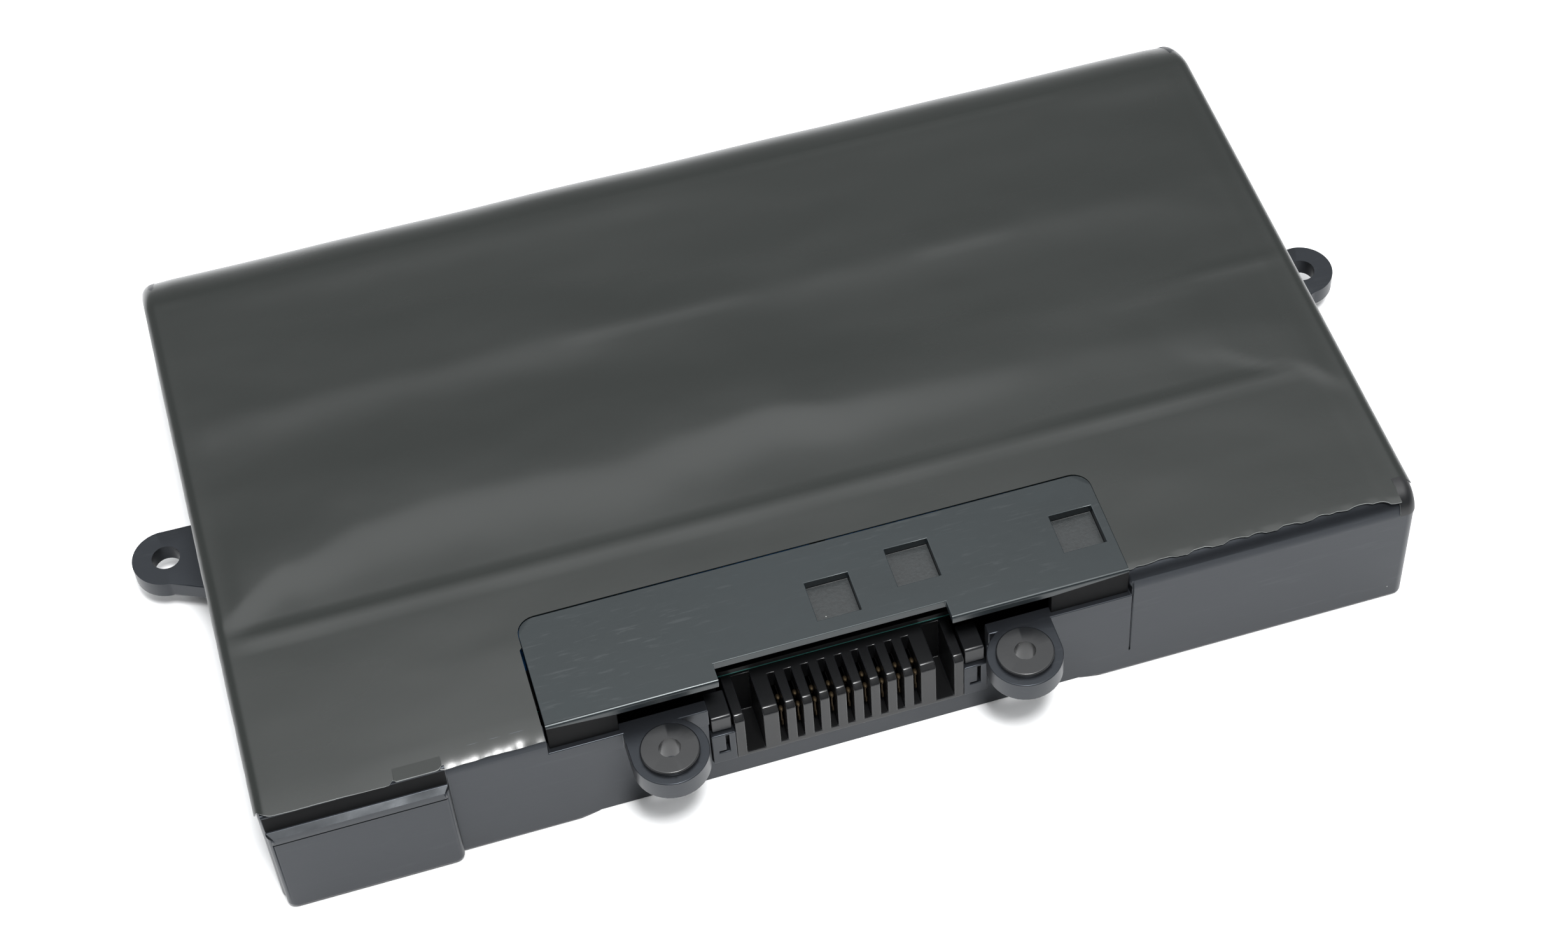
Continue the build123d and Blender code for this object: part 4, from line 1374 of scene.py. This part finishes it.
# --------------------------------------------------------------------------
# Studio
# --------------------------------------------------------------------------
@dataclass
class Studio:
    """Pale floor, soft light and the camera."""

    floor_size: float = 4.0
    low_light: float = 0.65
    high_light: float = 2.7
    front_light: float = 0.06
    tent_rise: tuple[float, float] = (0.75, 0.85)
    front_rise: tuple[float, float] = (-0.6, -0.25)
    camera_at: Place = (-0.05227, -0.24311, 0.31482)
    camera_towards: Place = (0.1973, 0.5949, -0.7792)
    lens: float = 70.58
    shift: tuple[float, float] = (-0.1195, -0.0266)

    def build(self) -> None:
        """Make everything that isn't the object."""
        self._floor()
        self._surroundings()
        self._softbox(
            "softbox_front", place=(0.0, -0.28, 0.62), towards=(0.0, -0.02, 0.0), size=(0.125, 0.125),
            watts=5.2,
        )
        self._camera()

    def _floor(self) -> None:
        """Round pale floor."""
        work = bmesh.new()
        bmesh.ops.create_circle(work, cap_ends=True, radius=self.floor_size, segments=96)
        mesh = bpy.data.meshes.new("floor")
        work.to_mesh(mesh)
        work.free()
        floor = new_piece("floor", mesh)
        material = bpy.data.materials.new("floor_paper")
        material.use_nodes = True
        graph = Graph(material.node_tree)
        shader = material.node_tree.nodes["Principled BSDF"]
        shader.inputs["Specular IOR Level"].default_value = 0.2
        place = graph.add("ShaderNodeTexCoord").outputs["Object"]
        tone = graph.remap(graph.grain(place, 9.0, 3.0), 0.2, 0.8, 0.0, 1.0)
        paper = graph.blend(tone, (0.9, 0.905, 0.915, 1.0), (0.93, 0.935, 0.94, 1.0))
        graph.join(paper, shader.inputs["Base Color"])
        shader.inputs["Roughness"].default_value = 0.6
        mesh.materials.append(material)

    def _surroundings(self) -> None:
        """Light tent: bright overhead and behind, dark in front."""
        world = bpy.data.worlds.new("light_tent")
        bpy.context.scene.world = world
        world.use_nodes = True
        graph = Graph(world.node_tree)
        background = world.node_tree.nodes["Background"]
        heading = graph.add("ShaderNodeSeparateXYZ")
        graph.join(graph.add("ShaderNodeTexCoord").outputs["Generated"], heading.inputs[0])
        fall = graph.remap(heading.outputs[2], *self.tent_rise, self.low_light, self.high_light)
        front = graph.remap(heading.outputs[1], *self.front_rise, self.front_light, 1.0)
        graph.join(graph.calc("MULTIPLY", fall, front), background.inputs["Strength"])
        background.inputs["Color"].default_value = (0.985, 0.995, 1.0, 1.0)

    @staticmethod
    def _softbox(name: str, place: Place, towards: Place, size: tuple[float, float], watts: float) -> None:
        """Add one rectangular softbox.

        Args:
            name: the lamp's name.
            place: where it stands, in metres.
            towards: the point it shines at, in metres.
            size: its two sides, in metres.
            watts: its power.
        """
        light = bpy.data.lights.new(name, "AREA")
        light.shape = "RECTANGLE"
        light.size, light.size_y = size
        light.energy = watts
        lamp = bpy.data.objects.new(name, light)
        bpy.context.scene.collection.objects.link(lamp)
        lamp.location = place
        aim = Vector(towards) - Vector(place)
        lamp.rotation_euler = aim.to_track_quat("-Z", "Y").to_euler()

    def _camera(self) -> None:
        """Camera at the fitted place."""
        camera = bpy.data.cameras.new("camera")
        camera.lens = self.lens
        camera.sensor_width = 36.0
        camera.shift_x, camera.shift_y = self.shift
        camera.clip_start = 0.01
        camera.dof.use_dof = False
        holder = bpy.data.objects.new("camera", camera)
        bpy.context.scene.collection.objects.link(holder)
        holder.location = self.camera_at
        holder.rotation_euler = Vector(self.camera_towards).to_track_quat("-Z", "Y").to_euler()
        bpy.context.scene.camera = holder


def main() -> None:
    """Build the pack and its studio, in order."""
    logging.basicConfig(level=logging.INFO, format="%(message)s")
    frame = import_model()
    bpy.context.scene.view_settings.view_transform = "Standard"
    datum = Datum.from_pack()
    paint = Paint()
    builders: tuple[tuple[str, Callable[[], object]], ...] = (
        ("studio", Studio().build),
        ("tray", TrayShell(frame, datum, paint).build),
        ("film", FilmWrap(datum, paint).build),
        ("corner tab", CornerTab(datum, paint).build),
        ("cover", ConnectorCover(frame, datum, paint).build),
        ("connector", BladeConnector(frame, datum, paint).build),
        ("inner pack", InnerPack(frame, paint).build),
    )
    for title, build in builders:
        LOG.info("building %s", title)
        build()


if __name__ == "__main__":
    main()
